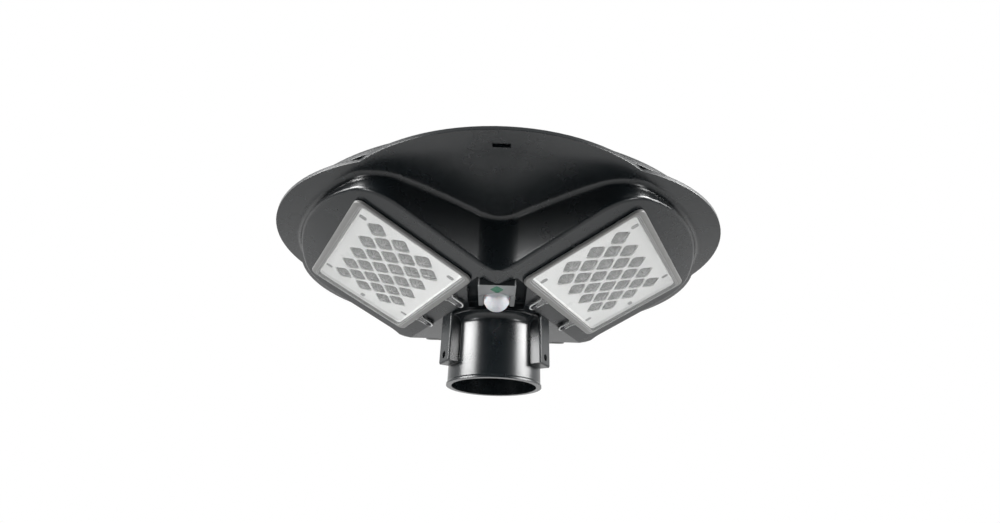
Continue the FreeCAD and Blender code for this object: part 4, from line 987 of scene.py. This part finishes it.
sheet_master = join_meshes([sheet_plate(), lens_field], "lens sheet")
white_master = join_meshes([cup_field, reflector_lip()], "reflector lining")
peg_master = join_meshes(pegs(), "pegs")
for side in WING_TURNS:
    wing_piece("lens_field", side, sheet_master, "lens_clear", "lens_sheet", smooth_angle=40)
    wing_piece("reflector_lining", side, white_master, "white_plastic", smooth_angle=40)
    # The pegs take the same grey, painted for light caught in the clear plastic.
    wing_piece("sheet_pegs", side, peg_master, "frosted", "lens_sheet", smooth_angle=40)
print("sheet faces", len(sheet_master.polygons))

# %% [markdown]
# ## Screws
# Screws hold the ears of the lens covers and the edge of the upper cover. Each is a pan head with a
# cross recess over a plain shank. A Boolean could cut the recess, but it leaves thin stray faces on
# such a small part. So the head is turned from loops, and the recess is a cross in polar form, with
# as many points as every other loop.

# %% One cross-head screw
SCREW_HEAD = 2.8 * MM
SCREW_SHANK = 1.5 * MM
SCREW_POINTS = 48
EAR_SCREW = (1.8 * MM, 7 * MM)      # height of the head, length of the shank
TOP_SCREW = (1.6 * MM, 6 * MM)
TIP_TAPER = 0.8 * MM
TIP_SHARE = 0.35
CROSS_TOP = (1.55 * MM, 0.42 * MM)  # arm and half width
CROSS_FLOOR = (1.1 * MM, 0.34 * MM)
HEAD_ANGLES = (0, 25, 50, 70, 85)   # degrees round the head's rounded edge
HEAD_FLAT = 0.55                    # share of the radius that stays flat
HEAD_SIDE = 0.35                    # share of the height that stays upright
CROSS_HEIGHTS = (0.99, 0.4)         # top and floor of the cross, as shares of the height


def cross_radius(angle, arm, half_width):
    c, s = max(abs(math.cos(angle)), 1e-6), max(abs(math.sin(angle)), 1e-6)
    return max(min(arm / c, half_width / s), min(arm / s, half_width / c))


def screw_mesh(head_height, length):
    """Screw whose head looks down -z and whose seat is at z = 0."""
    def circle(radius, z):
        angles = [2 * math.pi * i / SCREW_POINTS for i in range(SCREW_POINTS)]
        return [(radius * math.cos(angle), radius * math.sin(angle), z) for angle in angles]

    def cross(arm, half_width, z):
        loop = []
        for i in range(SCREW_POINTS):
            angle = 2 * math.pi * i / SCREW_POINTS
            reach = cross_radius(angle, arm, half_width)
            loop.append((reach * math.cos(angle), reach * math.sin(angle), z))
        return loop

    loops = [circle(SCREW_SHANK * TIP_SHARE, length), circle(SCREW_SHANK, length - TIP_TAPER)]
    loops += [circle(SCREW_SHANK, 0), circle(SCREW_HEAD, 0)]
    for a in HEAD_ANGLES:
        angle = math.radians(a)
        radius = SCREW_HEAD * (HEAD_FLAT + (1 - HEAD_FLAT) * math.cos(angle))
        loops.append(circle(radius, -head_height * (HEAD_SIDE + (1 - HEAD_SIDE) * math.sin(angle))))
    for size, share in zip((CROSS_TOP, CROSS_FLOOR), CROSS_HEIGHTS):
        loops.append(cross(*size, -head_height * share))
    return stack_of_loops(loops)


print("screw faces", len(screw_mesh(*EAR_SCREW).polygons))

# %% [markdown]
# ## Set the screws out
# Two screws hold each cover by its ears, and six hold the edge of the top. They could be placed one
# by one, but a tree with named inputs sets out a pair or a ring of any size. It also turns each
# screw by a different amount, because real screws never stop at the same angle.

# %% Set the screws out
SCREW_TURN = 0.7              # turn from one screw to the next, in radians


def screw_tree(name, ring):
    """A ring of screws, or a pair of them on one line, each turned by a different amount."""
    tree, group_in, group_out = geometry_tree(name, [
        ("Count", "NodeSocketInt", 2), ("Reach", "NodeSocketFloat", 0.0),
        ("Half gap", "NodeSocketFloat", 0.0), ("Start angle", "NodeSocketFloat", 0.0),
        ("Seat", "NodeSocketFloat", 0.0), ("Material", "NodeSocketMaterial", None)])
    given = group_in.outputs
    index = add(tree, "GeometryNodeInputIndex").outputs[0]
    if ring:
        step = math_node(tree, "DIVIDE", 2 * math.pi, given["Count"])
        angle = math_node(tree, "ADD", math_node(tree, "MULTIPLY", index, step), given["Start angle"])
        x = math_node(tree, "MULTIPLY", given["Reach"], math_node(tree, "COSINE", angle))
        y = math_node(tree, "MULTIPLY", given["Reach"], math_node(tree, "SINE", angle))
    else:
        x = math_node(tree, "MULTIPLY", given["Reach"], -1.0)
        sign = math_node(tree, "SUBTRACT", math_node(tree, "MULTIPLY", index, 2.0), 1.0)
        y = math_node(tree, "MULTIPLY", given["Half gap"], sign)
    place = add(tree, "ShaderNodeCombineXYZ", X=x, Y=y, Z=given["Seat"])
    turn = add(tree, "ShaderNodeCombineXYZ", Z=math_node(tree, "MULTIPLY", index, SCREW_TURN))
    points = add(tree, "GeometryNodePoints", Count=given["Count"], Position=place.outputs[0])
    copies = add(tree, "GeometryNodeInstanceOnPoints", Points=points.outputs[0], Instance=given["Geometry"],
                 Rotation=turn.outputs[0])
    finish_tree(tree, group_in, group_out, copies.outputs[0])
    return tree


pair = run_tree(screw_mesh(*EAR_SCREW), screw_tree("pair of screws", False), {
    "Count": 2, "Reach": EAR_REACH, "Half gap": EAR_OFFSET, "Seat": FACE_SIDE - EAR_THICKNESS,
    "Material": finishes["dark_steel"]}, "ear screws")
ear_screws = join_meshes([placed_copy(pair, wing_matrix(side), side) for side in WING_TURNS], "ear_screws")
ear_screw_piece = new_piece("ear_screws", ear_screws, "dark_steel", smooth_angle=30)
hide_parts("lens_screws")

cover_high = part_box("cover_screws")[1]
FIRST_SCREW = math.radians(15)
TOP_SCREWS = 6
screw_circle = (cover_high[0] - SCREW_HEAD) / math.cos(FIRST_SCREW)
top_screw = screw_mesh(*TOP_SCREW)
top_screw.transform(Matrix.Rotation(math.pi, 4, "X"))
top_ring = run_tree(top_screw, screw_tree("ring of screws", True), {
    "Count": TOP_SCREWS, "Reach": screw_circle, "Start angle": math.pi / 2 + FIRST_SCREW,
    "Seat": cover_high[2] - TOP_SCREW[0], "Material": finishes["steel"]}, "top screws")
top_screw_piece = new_piece("top_screws", top_ring, "steel", smooth_angle=30)
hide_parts("cover_screws")
print("screws:", 2 * len(WING_TURNS), "in ears and", TOP_SCREWS, "in the top, circle", round(screw_circle, 4))

# %% [markdown]
# ## Sensor dome
# The white dome of a motion sensor is a thin shell whose surface is pressed into rows of small
# lenses. A smooth ball with a bump pattern would be quicker, but its outline would stay smooth and
# the exported mesh would lose the facets. So the shell is turned from loops, and each point sinks
# towards the border of its facet, with every second row shifted by half a facet as on a real dome.

# %% Facetted dome
DOME_RADIUS = 11.2 * MM
DOME_WALL = 1.0 * MM
DOME_FLANGE = 12.8 * MM
FACET_ROWS = (4, 20, 38, 58, 82)
FACETS = 12
FACET_DEPTH = 0.28 * MM
FLANGE_HEIGHT = 1.6 * MM
FACET_POINTS = 8
POLAR_STEP = 3.0              # degrees between the outer loops
INNER_POLARS = (80, 65, 50, 35, 20, 5)
POLE_CAP = 3                  # degrees at the dome's tip without facets
FACET_FLATNESS = 0.4          # below 1 the middle of a facet is flatter


def facet_sink(polar, turn):
    for row, (low, high) in enumerate(zip(FACET_ROWS, FACET_ROWS[1:])):
        if low <= polar <= high:
            along = (polar - low) / (high - low)
            across = (turn * FACETS / 360 + 0.5 * (row % 2)) % 1.0
            middle = math.sin(math.pi * along) * math.sin(math.pi * across)
            return FACET_DEPTH * (1 - max(0.0, middle) ** FACET_FLATNESS)
    return FACET_DEPTH


def dome_mesh():
    low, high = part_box("pir_dome")
    middle = ((low[0] + high[0]) / 2, (low[1] + high[1]) / 2, low[2] + DOME_RADIUS)
    around = FACETS * FACET_POINTS

    def ring(radius, z):
        loop = []
        for i in range(around):
            turn = 360 * i / around
            loop.append((middle[0] + radius * math.cos(math.radians(turn)),
                         middle[1] + radius * math.sin(math.radians(turn)), z))
        return loop

    loops = []
    polar = 1.0
    while polar < 90:
        loop = []
        for i in range(around):
            turn = 360 * i / around
            reach = DOME_RADIUS - facet_sink(polar, turn) * (polar > POLE_CAP)
            flat = reach * math.sin(math.radians(polar))
            loop.append((middle[0] + flat * math.cos(math.radians(turn)),
                         middle[1] + flat * math.sin(math.radians(turn)),
                         middle[2] - reach * math.cos(math.radians(polar))))
        loops.append(loop)
        polar += POLAR_STEP
    shelf = high[2] - FLANGE_HEIGHT
    inner = DOME_RADIUS - DOME_WALL
    loops += [ring(DOME_RADIUS, middle[2]), ring(DOME_RADIUS, shelf), ring(DOME_FLANGE, shelf),
              ring(DOME_FLANGE, high[2]), ring(inner, high[2]), ring(inner, middle[2])]
    for polar in INNER_POLARS:
        angle = math.radians(polar)
        loops.append(ring(inner * math.sin(angle), middle[2] - inner * math.cos(angle)))
    return stack_of_loops(loops)


dome = new_piece("facetted_dome", dome_mesh(), "milky", smooth_angle=60)
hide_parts("pir_dome")
print("dome faces", len(dome.data.polygons))

# %% [markdown]
# ## Solar cells
# Under the glass of the top lie square cells. Fine silver fingers cross each cell, and three wider
# busbars gather their current. The lines are far too thin for geometry, so they are drawn in the
# finish from Object coordinates.

# %% Fingers and busbars
FINGER_PITCH = 2.2 * MM
CELL_PITCH = 54.5 * MM
FINGER_SHARE = 0.09
FINGER_STRENGTH = 0.45
BUSBAR_PITCH = CELL_PITCH / 3
BUSBAR_SHARE = 0.07
FINGER_SILVER = (0.30, 0.31, 0.33)
BUSBAR_SILVER = (0.42, 0.43, 0.45)


def line_mask(tree, along, pitch, share):
    folded = math_node(tree, "FRACT", math_node(tree, "DIVIDE", along, pitch))
    return math_node(tree, "LESS_THAN", folded, share)


def draw_cell_lines():
    tree = finishes["cell_blue"].node_tree
    shader = tree.nodes["Principled BSDF"]
    place = add(tree, "ShaderNodeSeparateXYZ", Vector=add(tree, "ShaderNodeTexCoord").outputs["Object"])
    fingers = line_mask(tree, place.outputs["Y"], FINGER_PITCH, FINGER_SHARE)
    shifted = math_node(tree, "ADD", place.outputs["X"], BUSBAR_PITCH / 4)
    busbars = line_mask(tree, shifted, BUSBAR_PITCH, BUSBAR_SHARE)
    base = shader.inputs["Base Color"].links[0].from_socket
    lined = blend_colour(tree, math_node(tree, "MULTIPLY", fingers, FINGER_STRENGTH), base, FINGER_SILVER)
    tree.links.new(blend_colour(tree, busbars, lined, BUSBAR_SILVER), shader.inputs["Base Color"])


draw_cell_lines()
print("cell lines drawn")
